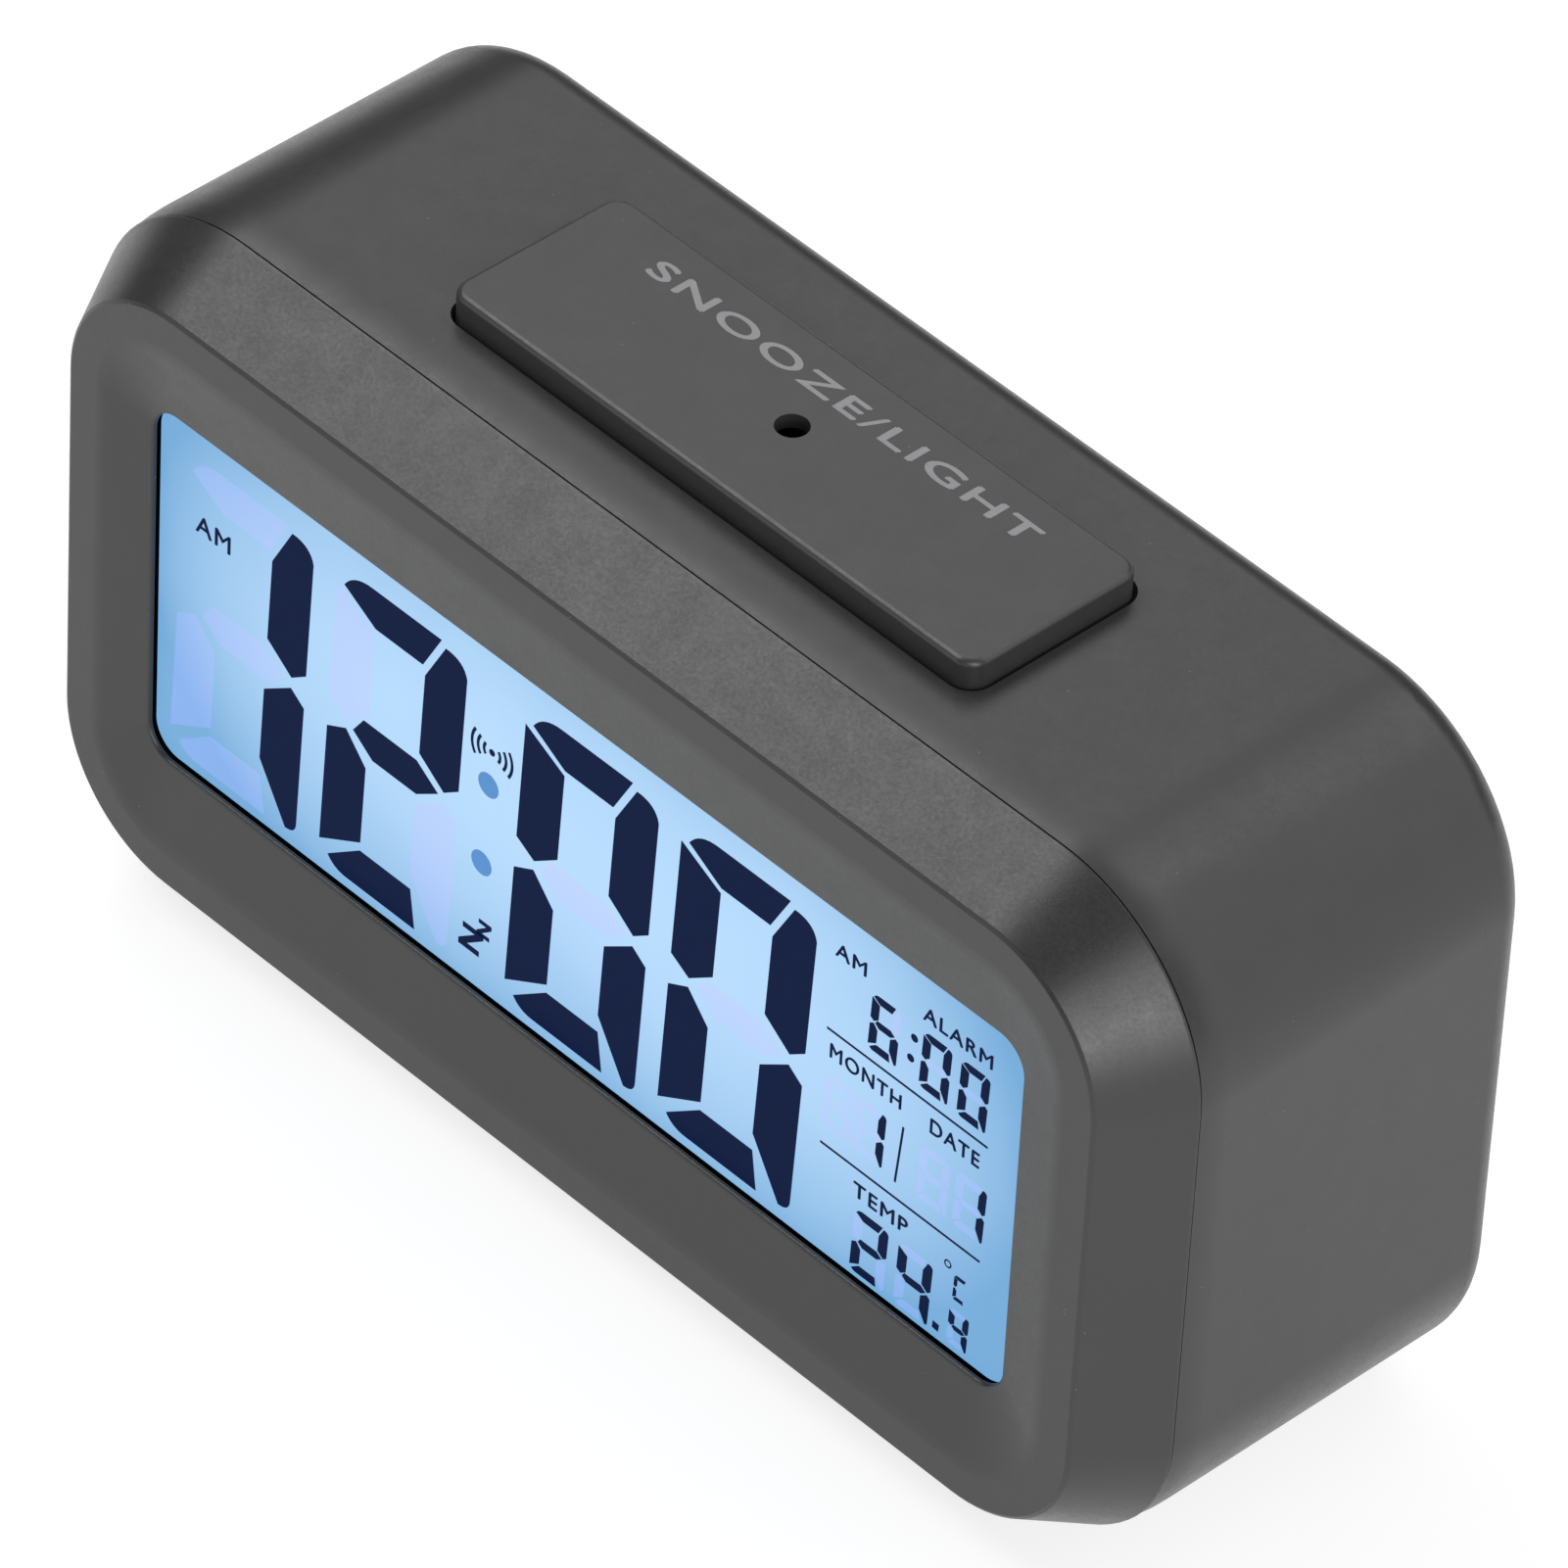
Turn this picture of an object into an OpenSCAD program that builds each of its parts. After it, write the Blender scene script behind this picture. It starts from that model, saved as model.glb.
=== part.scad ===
// Table alarm clock with a backlit liquid-crystal display and a snooze bar.
// X is to the viewer's right, the display faces -Y, Z is up, and the origin is the centre of the base.
// Depths are measured from the front face towards the rear.

/* [Case] */
// Width of the case
body_w = 135; // [112:0.5:165]
// Height of the case without the snooze bar
body_h = 72.8; // [70:0.4:90]
// Depth from the front face to the rear face
body_d = 45.6; // [40:0.4:56]
// Outer corner radius of the case
corner_r = 17.8; // [15:0.2:22]
// Wall thickness of both shells
wall = 2; // [1.6:0.1:2.6]
// Thickness of the rear wall
rear_wall = 2.2; // [2:0.1:3]
// Radius of the rounded rear edge
rear_edge_r = 3.3; // [2.6:0.1:4]
// Width of the gap line between the two shells
seam_gap = 0.15; // [0.1:0.05:0.5]
// How far the rear shell rolls in at its front edge
edge_drop = 0.3; // [0.1:0.05:0.6]
// Length of that roll
edge_roll = 3; // [1:0.5:5]

/* [Bezel] */
// Depth of the tapered rim in front of the seam
taper_depth = 7.9; // [5:0.1:10]
// How far the rim tapers in from the case outline
taper_inset = 4.6; // [3:0.1:6]
// Width of the flat front ring
ring_width = 4; // [2.5:0.1:6]
// Slope between the ring and the window at each side
slope_side = 5.4; // [4:0.1:8]
// Slope between the ring and the window above it
slope_top = 7.85; // [5:0.05:10]
// Slope between the ring and the window below it
slope_bottom = 8.75; // [5:0.05:10]
// How far the window edge lies behind the front face
slope_depth = 1.3; // [0.8:0.1:2]
// Thickness of the lip round the window
lip = 0.5; // [0.4:0.1:1]
// Corner radius of the window
window_r = 3; // [1:0.5:5]
// Depth to which the bezel's locating skirt reaches into the case
skirt_depth = 10.6; // [9.6:0.2:13]
// Thickness of the locating skirt
skirt_wall = 1.5; // [1:0.1:2]

/* [Display] */
// Glass hidden behind the bezel at each side
glass_side = 2; // [1:0.1:3]
// Glass hidden above the window
glass_top = 2.2; // [2:0.1:3]
// Glass hidden below the window, where its contacts are
glass_bottom = 2.4; // [2.2:0.1:3]
// Thickness of each glass plate
glass_t = 1.1; // [0.7:0.1:1.5]
// Thickness of each polarising film
film_t = 0.2; // [0.15:0.05:0.4]
// Thickness of the foam gasket in front of the glass
gasket_t = 0.4; // [0.3:0.1:1]
// Thickness of the diffuser sheet and of the reflector sheet
sheet_t = 0.3; // [0.2:0.05:0.5]
// Thickness of the acrylic light guide
guide_t = 3; // [2:0.2:4]
// Thickness of the rubber contact strip
zebra_t = 1.4; // [1:0.1:1.6]
// Wall thickness of the display tray
tray_wall = 1.2; // [1:0.1:1.6]
// Floor thickness of the display tray
tray_floor = 1.4; // [1:0.1:2]
// Number of backlight lamps along the top of the light guide
lamp_count = 4; // [2:1:6]
// Width of one backlight lamp
lamp_w = 5; // [3:0.5:6]

/* [Snooze bar] */
// Width of the snooze bar
bar_w = 63.6; // [53:0.1:76]
// Size of the snooze bar from front to rear
bar_d = 19.7; // [16:0.1:22]
// Depth of the middle of the snooze bar
bar_depth = 24.45; // [22:0.05:26]
// How far the snooze bar stands above the case
bar_rise = 2.7; // [2:0.1:4]
// Corner radius of the snooze bar
bar_r = 2; // [1.5:0.1:4]
// Radius of the rounded top edge
bar_edge_r = 0.6; // [0.3:0.1:1]
// Wall thickness of the snooze bar
bar_wall = 1.5; // [1.2:0.1:2]
// Width of the flange that holds the bar in the case
bar_flange = 1.1; // [0.8:0.1:1.5]
// Gap round the snooze bar in its slot
bar_gap = 0.45; // [0.3:0.05:0.8]
// Travel of the snooze bar
bar_travel = 0.8; // [0.3:0.1:0.9]
// Radius of the light sensor's hole
sensor_hole_r = 1.55; // [1.5:0.05:2.5]
// Radius of the light sensor
sensor_r = 1.3; // [1:0.05:1.4]
// Distance from the middle of the bar to each of its switches
bar_switch_x = 20; // [14:0.5:24]

/* [Rear keys] */
// Distance from one key to the next
key_pitch = 18; // [16:0.5:20]
// Radius of a key
key_r = 3.8; // [3:0.1:4.4]
// Gap round a key in its hole
key_gap = 0.3; // [0.2:0.05:0.5]
// Width of the flange that holds a key in the case
key_flange = 1; // [0.7:0.1:1.3]
// Depth of the sunk strip round the keys
key_strip_sink = 1; // [0.6:0.1:1.4]
// How far a key stands out of the sunk strip
key_rise = 0.8; // [0.4:0.1:0.9]
// Travel of a key
key_travel = 0.6; // [0.3:0.1:0.6]
// Travel of the slide switch's lever
lever_travel = 3; // [2:0.5:4]
// Thickness of the slide switch's lever
lever_t = 2.4; // [1.6:0.1:3]

/* [Battery bay] */
// Number of cells side by side
cell_count = 3; // [3:1:3]
// Diameter of a cell
cell_d = 10.5; // [10.3:0.1:10.6]
// Length of a cell with its button
cell_l = 44.5; // [43.8:0.1:45]
// Gap between the cells
cell_gap = 0.7; // [0.5:0.1:1]
// Room for the springs and plates at the cells' ends
contact_room = 7.5; // [7:0.5:9]
// Wall thickness of the bay
bay_wall = 1.6; // [1.2:0.1:2]
// Height of the bay's inside above the base
bay_z = 8.6; // [8:0.2:10]
// Ledge that the door rests on
door_ledge = 1.2; // [0.8:0.1:1.4]
// Thickness of the battery door
door_t = 1.8; // [1.6:0.1:2]
// Gap round the battery door
door_gap = 0.25; // [0.2:0.05:0.4]
// Width of each of the door's tabs
tab_w = 5; // [4:0.5:8]

/* [Boards and fasteners] */
// Thickness of a circuit board
board_t = 1.6; // [1:0.2:1.6]
// Distance of the case screws from the side of the case
screw_side = 10.3; // [10:0.1:12]
// Distance of the case screws from the base and from the top
screw_edge = 9.8; // [9.6:0.1:12]
// Depth at which the two shells' screw posts meet
post_split = 16; // [15:0.5:18]
// Shank radius of the case screws
case_screw_r = 1.3; // [1.2:0.05:1.5]
// Shank radius of the board screws
board_screw_r = 1.1; // [0.9:0.05:1.2]
// Radius of the sound disc
piezo_r = 10; // [8:0.5:11]
// Radius of a lead
lead_r = 0.65; // [0.5:0.05:0.8]

/* [Hidden] */

$fn = 64;
eps = 0.01;           // overlap that lets a cut break through a face
fit_gap = 0.2;        // clearance of a piece that drops into a pocket
thread_gap = 0.02;    // clearance of a screw in its pilot hole
shank_gap = 0.3;      // clearance of a screw in a through hole
slide_gap = 0.1;      // clearance of a plunger in its bore

// Outlines and the window
front_y = -body_d / 2;
mid_z = body_h / 2;
ring_w = body_w - 2 * taper_inset;
ring_h = body_h - 2 * taper_inset;
ring_r = corner_r - taper_inset;
slope_w = ring_w - 2 * ring_width;
slope_h = ring_h - 2 * ring_width;
slope_r = ring_r - ring_width;
roll_r = (edge_roll * edge_roll + edge_drop * edge_drop) / (2 * edge_drop);
roll_steps = 5;
window_w = slope_w - 2 * slope_side;
window_h = slope_h - slope_top - slope_bottom;
window_z = mid_z + (slope_bottom - slope_top) / 2;
case_front = taper_depth + seam_gap / 2;
bezel_rear = taper_depth - seam_gap / 2;
groove_w = 0.25;      // fine groove where the ring meets the taper
groove_d = 0.2;

// Depths of the display's layers, front to rear
front_wall = slope_depth + lip;
d_film = front_wall + gasket_t;
d_front_glass = d_film + film_t;
d_rear_glass = d_front_glass + glass_t;
d_rear_film = d_rear_glass + glass_t;
d_diffuser = d_rear_film + film_t;
d_guide = d_diffuser + sheet_t;
d_reflector = d_guide + guide_t;
d_tray_floor = d_reflector + sheet_t;
ear_rise = 0.2;       // the ears stand this far proud of the tray's floor
d_board = d_tray_floor + tray_floor + ear_rise;
d_board_rear = d_board + board_t;
ear_t = 1.6;

// Glass and tray outlines
glass_w = window_w + 2 * glass_side;
glass_hi = window_z + window_h / 2 + glass_top;
glass_lo = window_z - window_h / 2 - glass_bottom;
tray_grow = fit_gap + tray_wall;
tray_hi = glass_hi + tray_grow;
tray_lo = glass_lo - tray_grow;
zebra_lo = glass_lo + fit_gap;
zebra_hi = zebra_lo + zebra_t;
lit_lo = zebra_hi + fit_gap;
lamp_h = 1.5;
lit_hi = glass_hi - lamp_h - fit_gap;
lit_w = window_w + 0.4;
lamp_pitch = lit_w / lamp_count;

// Screws and posts
boss_r = 3;
post_r = 4.2;
well_r = 3;
well_floor = 2;
screw_x = body_w / 2 - screw_side;
screw_zs = [screw_edge, body_h - screw_edge];
case_screw_l = 10;
case_head_r = 2.6;
case_head_t = 1.8;
board_head_r = 2;
board_head_t = 1.3;
board_post_r = 2.3;
board_w = 2 * (screw_x - boss_r - 0.8);
board_post_x = board_w / 2 - 14;
board_post_zs = [tray_lo - 3, tray_hi + 3];
board_edge = 3.2;     // board beyond the middle of a post
board_screw_l = 6;

// Battery bay, seen from the rear
bay_w = cell_l + contact_room;
bay_h = cell_count * cell_d + (cell_count + 1) * cell_gap;
bay_top = bay_z + bay_h;
bay_outer_w = bay_w + 2 * bay_wall;
door_rest = body_d - door_t;
cell_depth = door_rest - 0.4 - cell_d / 2;
bay_floor = cell_depth - cell_d / 2 - 0.4;
door_w = bay_w + 2 * (door_ledge - door_gap);
door_lo = bay_z - door_ledge + door_gap;
door_hi = bay_top + door_ledge - door_gap;
hinge_r = door_t / 2; // the door's lower edge is a half round on its hinge line
hinge_z = door_lo + hinge_r;
hinge_depth = body_d - hinge_r;
seat_gap = 0.05;      // the door stops this far short of its ledge
tab_x = bay_w / 4;
tab_face = 2.7;       // depth of a tab's rear face behind the door's outer face
tab_t = 1;
tab_reach = 2.05;     // how far a tab reaches below the door
tab_neck = 1.15;
plate_t = 0.4;
lug_l = 2;
pad_t = 0.9;          // raised pad that meets a cell's button
cell_x = contact_room / 2 - plate_t - pad_t;
nub_l = 0.8;
function cell_z(i) = bay_z + cell_gap + cell_d / 2 + i * (cell_d + cell_gap);
function cell_dir(i) = i % 2 == 0 ? 1 : -1;

// Snooze parts
bar_top = body_h + bar_rise;
bar_under = bar_top - bar_wall;
case_top_in = body_h - wall;
flange_hi = case_top_in - 0.1;
flange_t = 1;
switch_w = 6;
switch_h = 3.5;
plunger_r = 1.65;
plunger_show = 0.9;   // plunger standing out of its switch
plunger_in = 1;       // plunger held inside its switch
snooze_board_hi = case_top_in - 9.2;
snooze_board_lo = snooze_board_hi - board_t;
snooze_board_w = bar_w + 15;
snooze_board_d = bar_d - 4.7;
snooze_post_x = bar_w / 2 + bar_flange + 3.3;
bar_post_z = snooze_board_hi + switch_h + plunger_show;
sensor_hi = bar_under - bar_travel - 0.2;
sensor_t = 1.8;

// Rear keys and the slide switch
key_count = 5;
key_face = body_d - key_strip_sink + key_rise;
strip_depth = body_d - key_strip_sink;
strip_in = strip_depth - rear_wall;
key_flange_t = 0.8;
key_flange_hi = strip_in - 0.1;
key_stem_r = 1.5;
key_stem_l = 1.2;
key_plunger_hi = key_flange_hi - key_flange_t - key_stem_l;
key_switch_hi = key_plunger_hi - key_travel - 0.1;
key_board_hi = key_switch_hi - switch_h;
key_board_lo = key_board_hi - board_t;
key_row_z = (bay_top + bay_wall + snooze_board_lo) / 2;
strip_half = 6;
side_x = (bay_outer_w / 2 + body_w / 2 - wall) / 2;
side_z = 30;
switch_len = 12;
switch_wid = 6;
lever_room = 0.4;
lever_face = body_d - 0.4;
lever_sink = 0.8;
key_leg = 6.5;
key_post_r = 2.2;
key_post_x = key_pitch * 1.5;
key_post_z = side_z + 11;
function key_x(i) = (i - (key_count - 1) / 2) * key_pitch;

// Lead routes: x, depth, z, chosen by hand; each starts at a lug or pad and ends on the main board
positive_route = [
    [-board_w / 2 + 12, d_board_rear, 24], [-board_w / 2 + 12, d_board_rear + 5, 24],
    [-36, 22, 20], [-bay_w / 2 + plate_t / 2, bay_floor - bay_wall - lug_l - 3, cell_z(0)],
    [-bay_w / 2 + plate_t / 2, bay_floor - bay_wall - lug_l, cell_z(0)],
];
negative_x = board_w / 2 - 14;
negative_route = [
    [negative_x, d_board_rear, 24], [negative_x, d_board_rear + 5, 24],
    [34, 22, 30], [bay_w / 2 - plate_t / 2, bay_floor - bay_wall - lug_l - 3, cell_z(2)],
    [bay_w / 2 - plate_t / 2, bay_floor - bay_wall - lug_l, cell_z(2)],
];
sound_depth = body_d - rear_wall - 1.4;
sound_route = [
    [board_w / 2 - 8, d_board_rear, 34], [board_w / 2 - 8, d_board_rear + 6, 34],
    [side_x - 3, 27, side_z + 3], [side_x, sound_depth - 6, side_z], [side_x, sound_depth - 0.45, side_z],
];
snooze_route = [
    [-30, d_board_rear, 52.5], [-30, d_board_rear + 4, 52.5], [-30, bar_depth - 5.5, 54.5],
    [-30, bar_depth - 4, snooze_board_lo - 3], [-30, bar_depth - 4, snooze_board_lo],
];

// ---------- helpers ----------

// Stands a flat drawing up: x right, y up, z into the clock, starting at depth d
module facing(d) {
    translate([0, front_y + d, 0])
        mirror([0, 1, 0])
            rotate([90, 0, 0])
                children();
}

// Round hole or peg that runs from depth d by length l at x, z
module peg(x, z, d, l, r) {
    facing(d) translate([x, z, 0]) cylinder(h = l, r = r);
}

// Box given by its middle x, middle z, first depth, and its width, height and length
module block(x, z, d, w, h, l) {
    translate([x - w / 2, front_y + d, z - h / 2]) cube([w, l, h]);
}

module rounded_rect(w, h, r) {
    square([w - 2 * r, h], center = true);
    square([w, h - 2 * r], center = true);
    for (sx = [-1, 1])
        for (sy = [-1, 1])
            translate([sx * (w / 2 - r), sy * (h / 2 - r)]) circle(r = r);
}

// Flat plate with rounded corners, front face at depth d, middle at height z
module plate(w, h, r, z, d, t) {
    facing(d) translate([0, z, 0]) linear_extrude(t) rounded_rect(w, h, r);
}

// Carries a profile (x outwards from the outline, y along the depth) round a rounded rectangle
module rim(w, h, r) {
    for (k = [0:3]) {
        long = k % 2 == 0 ? h - 2 * r : w - 2 * r;
        out = k % 2 == 0 ? w / 2 : h / 2;
        rotate([0, 0, 90 * k])
            translate([out, long / 2, 0])
                rotate([90, 0, 0])
                    linear_extrude(long) children();
        sx = k == 0 || k == 3 ? 1 : -1;
        sy = k < 2 ? 1 : -1;
        translate([sx * (w / 2 - r), sy * (h / 2 - r), 0])
            rotate([0, 0, 90 * k])
                rotate_extrude(angle = 90) translate([r, 0]) children();
    }
}

// Screw whose head starts at the origin and whose shank runs down
module screw(shank_r, l, head_r, head_t) {
    slot_w = head_r * 0.3;
    difference() {
        union() {
            translate([0, 0, -l]) cylinder(h = l + eps, r = shank_r);
            translate([0, 0, 0]) cylinder(h = head_t * 0.6, r = head_r);
            translate([0, 0, head_t * 0.6]) cylinder(h = head_t * 0.4, r1 = head_r, r2 = head_r * 0.7);
        }
        for (a = [0, 90])
            rotate([0, 0, a])
                translate([-head_r * 0.55, -slot_w / 2, head_t * 0.4])
                    cube([head_r * 1.1, slot_w, head_t]);
    }
}

// Tube swept along points, as one polyhedron
function unit(v) = v / norm(v);
function tangent(p, i) = unit(p[min(i + 1, len(p) - 1)] - p[max(i - 1, 0)]);
function side_of(t) = unit(cross(t, abs(t[2]) > 0.9 ? [1, 0, 0] : [0, 0, 1]));
function ring_at(p, t, r, n) =
    let (u = side_of(t), v = cross(u, t))
    [for (k = [0:n - 1]) p + r * (cos(360 * k / n) * u + sin(360 * k / n) * v)];
module tube(path, r, n = 8) {
    m = len(path);
    points = [for (i = [0:m - 1]) each ring_at(path[i], tangent(path, i), r, n)];
    sides = [for (i = [0:m - 2]) for (k = [0:n - 1])
        [i * n + k, i * n + (k + 1) % n, (i + 1) * n + (k + 1) % n, (i + 1) * n + k]];
    first = [for (k = [n - 1:-1:0]) k];
    last = [for (k = [0:n - 1]) (m - 1) * n + k];
    polyhedron(points, concat([first], sides, [last]), convexity = 4);
}

// Smooth curve through hand-picked points
function blend_point(a, b, c, d, t) = 0.5 * (
    2 * b + (c - a) * t + (2 * a - 5 * b + 4 * c - d) * t * t + (3 * b - 3 * c + d - a) * t * t * t);
function pick(p, i) = p[min(max(i, 0), len(p) - 1)];
function smooth(p, steps) = concat(
    [for (i = [0:len(p) - 2]) for (s = [0:steps - 1])
        blend_point(pick(p, i - 1), p[i], p[i + 1], pick(p, i + 2), s / steps)],
    [p[len(p) - 1]]);
function routed(p) = [for (q = smooth(p, 5)) [q[0], front_y + q[1], q[2]]];

module lead(route, shift = 0) {
    translate([shift, 0, 0]) tube(routed(route), lead_r);
}

// ---------- front of the clock ----------

module front_bezel() {
    color("#55565a") {
        difference() {
            union() {
                facing(0) translate([0, mid_z, 0]) {
                    linear_extrude(front_wall) rounded_rect(ring_w, ring_h, ring_r);
                    rim(body_w, body_h, corner_r) bezel_profile();
                }
                for (x = [-screw_x, screw_x])
                    for (z = screw_zs)
                        peg(x, z, front_wall - eps, post_split - front_wall + eps, boss_r);
                for (x = [-board_post_x, 0, board_post_x])
                    for (z = board_post_zs)
                        peg(x, z, front_wall - eps, d_tray_floor - front_wall + eps, board_post_r);
            }
            front_slope();
            plate(window_w, window_h, window_r, window_z, -1, front_wall + 2);
            facing(-eps) translate([0, mid_z, 0])
                rim(ring_w, ring_h, ring_r) translate([-groove_w, 0]) square([groove_w, groove_d]);
            for (x = [-screw_x, screw_x])
                for (z = screw_zs)
                    peg(x, z, post_split - case_screw_l - 0.6, case_screw_l + 1, case_screw_r + thread_gap);
            for (x = [-board_post_x, 0, board_post_x])
                for (z = board_post_zs)
                    peg(x, z, front_wall + 1, d_tray_floor, board_screw_r + thread_gap);
        }
    }
}

// Section of the tapered rim and its locating skirt
module bezel_profile() {
    lean = taper_inset / taper_depth;
    polygon([
        [-taper_inset - eps, 0], [-taper_inset, 0], [-lean * (taper_depth - bezel_rear), bezel_rear],
        [-wall - fit_gap, bezel_rear], [-wall - fit_gap, skirt_depth],
        [-wall - fit_gap - skirt_wall, skirt_depth], [-wall - fit_gap - skirt_wall, taper_depth * 0.7],
        [-taper_inset - wall, front_wall], [-taper_inset - wall, front_wall / 2],
    ]);
}

// The shallow sloping recess between the ring and the window
module front_slope() {
    t = 0.02;
    hull() {
        facing(-t) translate([0, mid_z, 0]) linear_extrude(t) rounded_rect(slope_w, slope_h, slope_r, $fn = 48);
        facing(slope_depth - t)
            translate([0, window_z, 0]) linear_extrude(t) rounded_rect(window_w, window_h, window_r, $fn = 48);
    }
}

// ---------- display ----------

// Layer of the display between two heights
module layer(w, lo, hi, d, t) {
    block(0, (lo + hi) / 2, d, w, hi - lo, t);
}

module display_gasket() {
    rim_w = 1.4;
    color("#1c1c1e")
        difference() {
            layer(glass_w, glass_lo, glass_hi, front_wall, gasket_t);
            layer(glass_w - 2 * rim_w + 0.4, glass_lo + rim_w, glass_hi - rim_w, front_wall - 1, gasket_t + 2);
        }
}

module front_polariser() {
    color("#a9cfee") layer(glass_w - 0.6, glass_lo + 0.3, glass_hi - 0.3, d_film, film_t);
}

module lcd_front_glass() {
    color("#b9d3e6") layer(glass_w, glass_lo, glass_hi, d_front_glass, glass_t);
}

module lcd_rear_glass() {
    color("#b9d3e6") layer(glass_w, lit_lo, glass_hi, d_rear_glass, glass_t);
}

module rear_polariser() {
    color("#8fb0c8") layer(lit_w, lit_lo, lit_hi, d_rear_film, film_t);
}

module diffuser_sheet() {
    color("#f0f2f4") layer(lit_w, lit_lo, lit_hi, d_diffuser, sheet_t);
}

module light_guide() {
    color("#dfeefa") layer(lit_w, lit_lo, lit_hi, d_guide, guide_t);
}

module reflector_sheet() {
    color("#fafafa") layer(lit_w, lit_lo, lit_hi, d_reflector, sheet_t);
}

module display_tray() {
    pocket_w = glass_w + 2 * fit_gap;
    color("#ececea")
        difference() {
            union() {
                layer(pocket_w + 2 * tray_wall, tray_lo, tray_hi, front_wall + 0.1, d_board - ear_rise - front_wall - 0.1);
                for (x = [-board_post_x, 0, board_post_x]) {
                    block(x, board_post_zs[0] + 0.1, d_tray_floor, 7, 6.6, ear_t);
                    block(x, board_post_zs[1] - 0.1, d_tray_floor, 7, 6.6, ear_t);
                }
            }
            layer(pocket_w, glass_lo - fit_gap, glass_hi + fit_gap, 0, d_tray_floor);
            layer(window_w + 2, zebra_lo - fit_gap / 2, zebra_hi + fit_gap / 2, 0, d_board + 1);
            for (i = [0:lamp_count - 1])
                block(lamp_x(i), lit_hi + fit_gap / 2 + lamp_h / 2, 0, lamp_w + 0.4, lamp_h, d_board + 1);
            for (x = [-board_post_x, 0, board_post_x])
                for (z = board_post_zs)
                    peg(x, z, 0, d_board + 1, board_screw_r + shank_gap);
            for (x = [-screw_x, screw_x])
                for (z = screw_zs)
                    peg(x, z, 0, d_board + 1, boss_r + fit_gap);
        }
}

function lamp_x(i) = (i - (lamp_count - 1) / 2) * lamp_pitch;

module backlight_lamps() {
    leg = 0.5;
    color("#f4f0d8")
        for (i = [0:lamp_count - 1]) {
            block(lamp_x(i), lit_hi + fit_gap / 2 + lamp_h / 2, d_guide, lamp_w, lamp_h - 0.2, guide_t - 0.1);
            for (s = [-1, 1])
                block(lamp_x(i) + s * lamp_w / 4, lit_hi + fit_gap / 2 + lamp_h / 2, d_guide + guide_t - 0.2, leg, leg,
                    d_board - d_guide - guide_t + 0.2);
        }
}

module contact_strip() {
    color("#e88f9a") layer(window_w, zebra_lo, zebra_hi, d_rear_glass, d_board - d_rear_glass);
}

// ---------- main board ----------

module main_board() {
    lo = board_post_zs[0] - board_edge;
    hi = board_post_zs[1] + board_edge;
    color("#1f6b46")
        difference() {
            layer(board_w, lo, hi, d_board, board_t);
            for (x = [-board_post_x, 0, board_post_x])
                for (z = board_post_zs)
                    peg(x, z, d_board - 1, board_t + 2, board_screw_r + shank_gap);
        }
}

module chip_cover() {
    cap_r = 8;
    dome_r = 17;
    color("#151515")
        intersection() {
            peg(4, mid_z, d_board_rear, 3, cap_r);
            facing(d_board_rear) translate([4, mid_z, 2 - dome_r]) sphere(r = dome_r, $fn = 96);
        }
}

module crystal() {
    color("#c9ccd0") {
        translate([22, front_y + d_board_rear + 1.05, mid_z - 3]) cylinder(h = 6, r = 1.05);
        for (s = [-1, 1])
            translate([22 + s * 0.4, front_y + d_board_rear + 1.05, mid_z - 5.5]) cylinder(h = 2.6, r = 0.15);
    }
}

module surface_parts() {
    color("#8a6f4e") {
        for (i = [0:7])
            block(-30 + i * 3, mid_z + 12, d_board_rear, 1.3, 2.2, 0.7);
        for (i = [0:4])
            block(negative_x - 12.6 - i * 3.2, mid_z - 12, d_board_rear, 1.3, 2.2, 0.7);
        for (s = [-1, 1])
            block(s * 20 - 12, mid_z - 14, d_board_rear, 3, 1.5, 1.1);
    }
}

module capacitor() {
    color("#2b3350") peg(-24, mid_z - 2, d_board_rear, 7, 2.5);
}

module thermistor() {
    x = -board_w / 2 + 6;
    z = board_post_zs[0] + 2;
    color("#3b5d3a") {
        facing(d_board_rear + 3) translate([x, z, 0]) sphere(r = 1.1, $fn = 32);
        for (s = [-1, 1])
            peg(x + s * 0.5, z, d_board_rear, 2.5, 0.2);
    }
}

module board_screws() {
    color("#b9bcc0")
        for (x = [-board_post_x, 0, board_post_x])
            for (z = board_post_zs)
                facing(d_board_rear) translate([x, z, 0]) screw(board_screw_r, board_screw_l, board_head_r, board_head_t);
}

// ---------- rear case ----------

// Section of the case wall: rolled in at the front, rounded at the rear edge
// How far the front edge has rolled in, a distance in front of the straight side
function roll_in(s) = roll_r - sqrt(roll_r * roll_r - s * s);

module case_profile() {
    straight_end = body_d - rear_edge_r;
    polygon([
        for (i = [0:roll_steps]) [-roll_in(edge_roll * (1 - i / roll_steps)), case_front + edge_roll * i / roll_steps],
        [0, straight_end], [-wall, straight_end], [-wall, case_front],
    ]);
    translate([-rear_edge_r, straight_end])
        intersection() {
            circle(r = rear_edge_r);
            difference() {
                square(rear_edge_r + 1);
                square([rear_edge_r - wall, rear_edge_r - rear_wall]);
            }
        }
}

module rear_case() {
    color("#525357")
        difference() {
            union() {
                facing(0) translate([0, mid_z, 0]) rim(body_w, body_h, corner_r) case_profile();
                plate(body_w - 2 * rear_edge_r, body_h - 2 * rear_edge_r, corner_r - rear_edge_r,
                    mid_z, body_d - rear_wall, rear_wall);
                case_posts();
                battery_bay();
                key_pad();
            }
            case_wells();
            bay_opening();
            key_holes();
            lever_slot();
            sound_holes();
            snooze_slot();
        }
}

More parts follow.
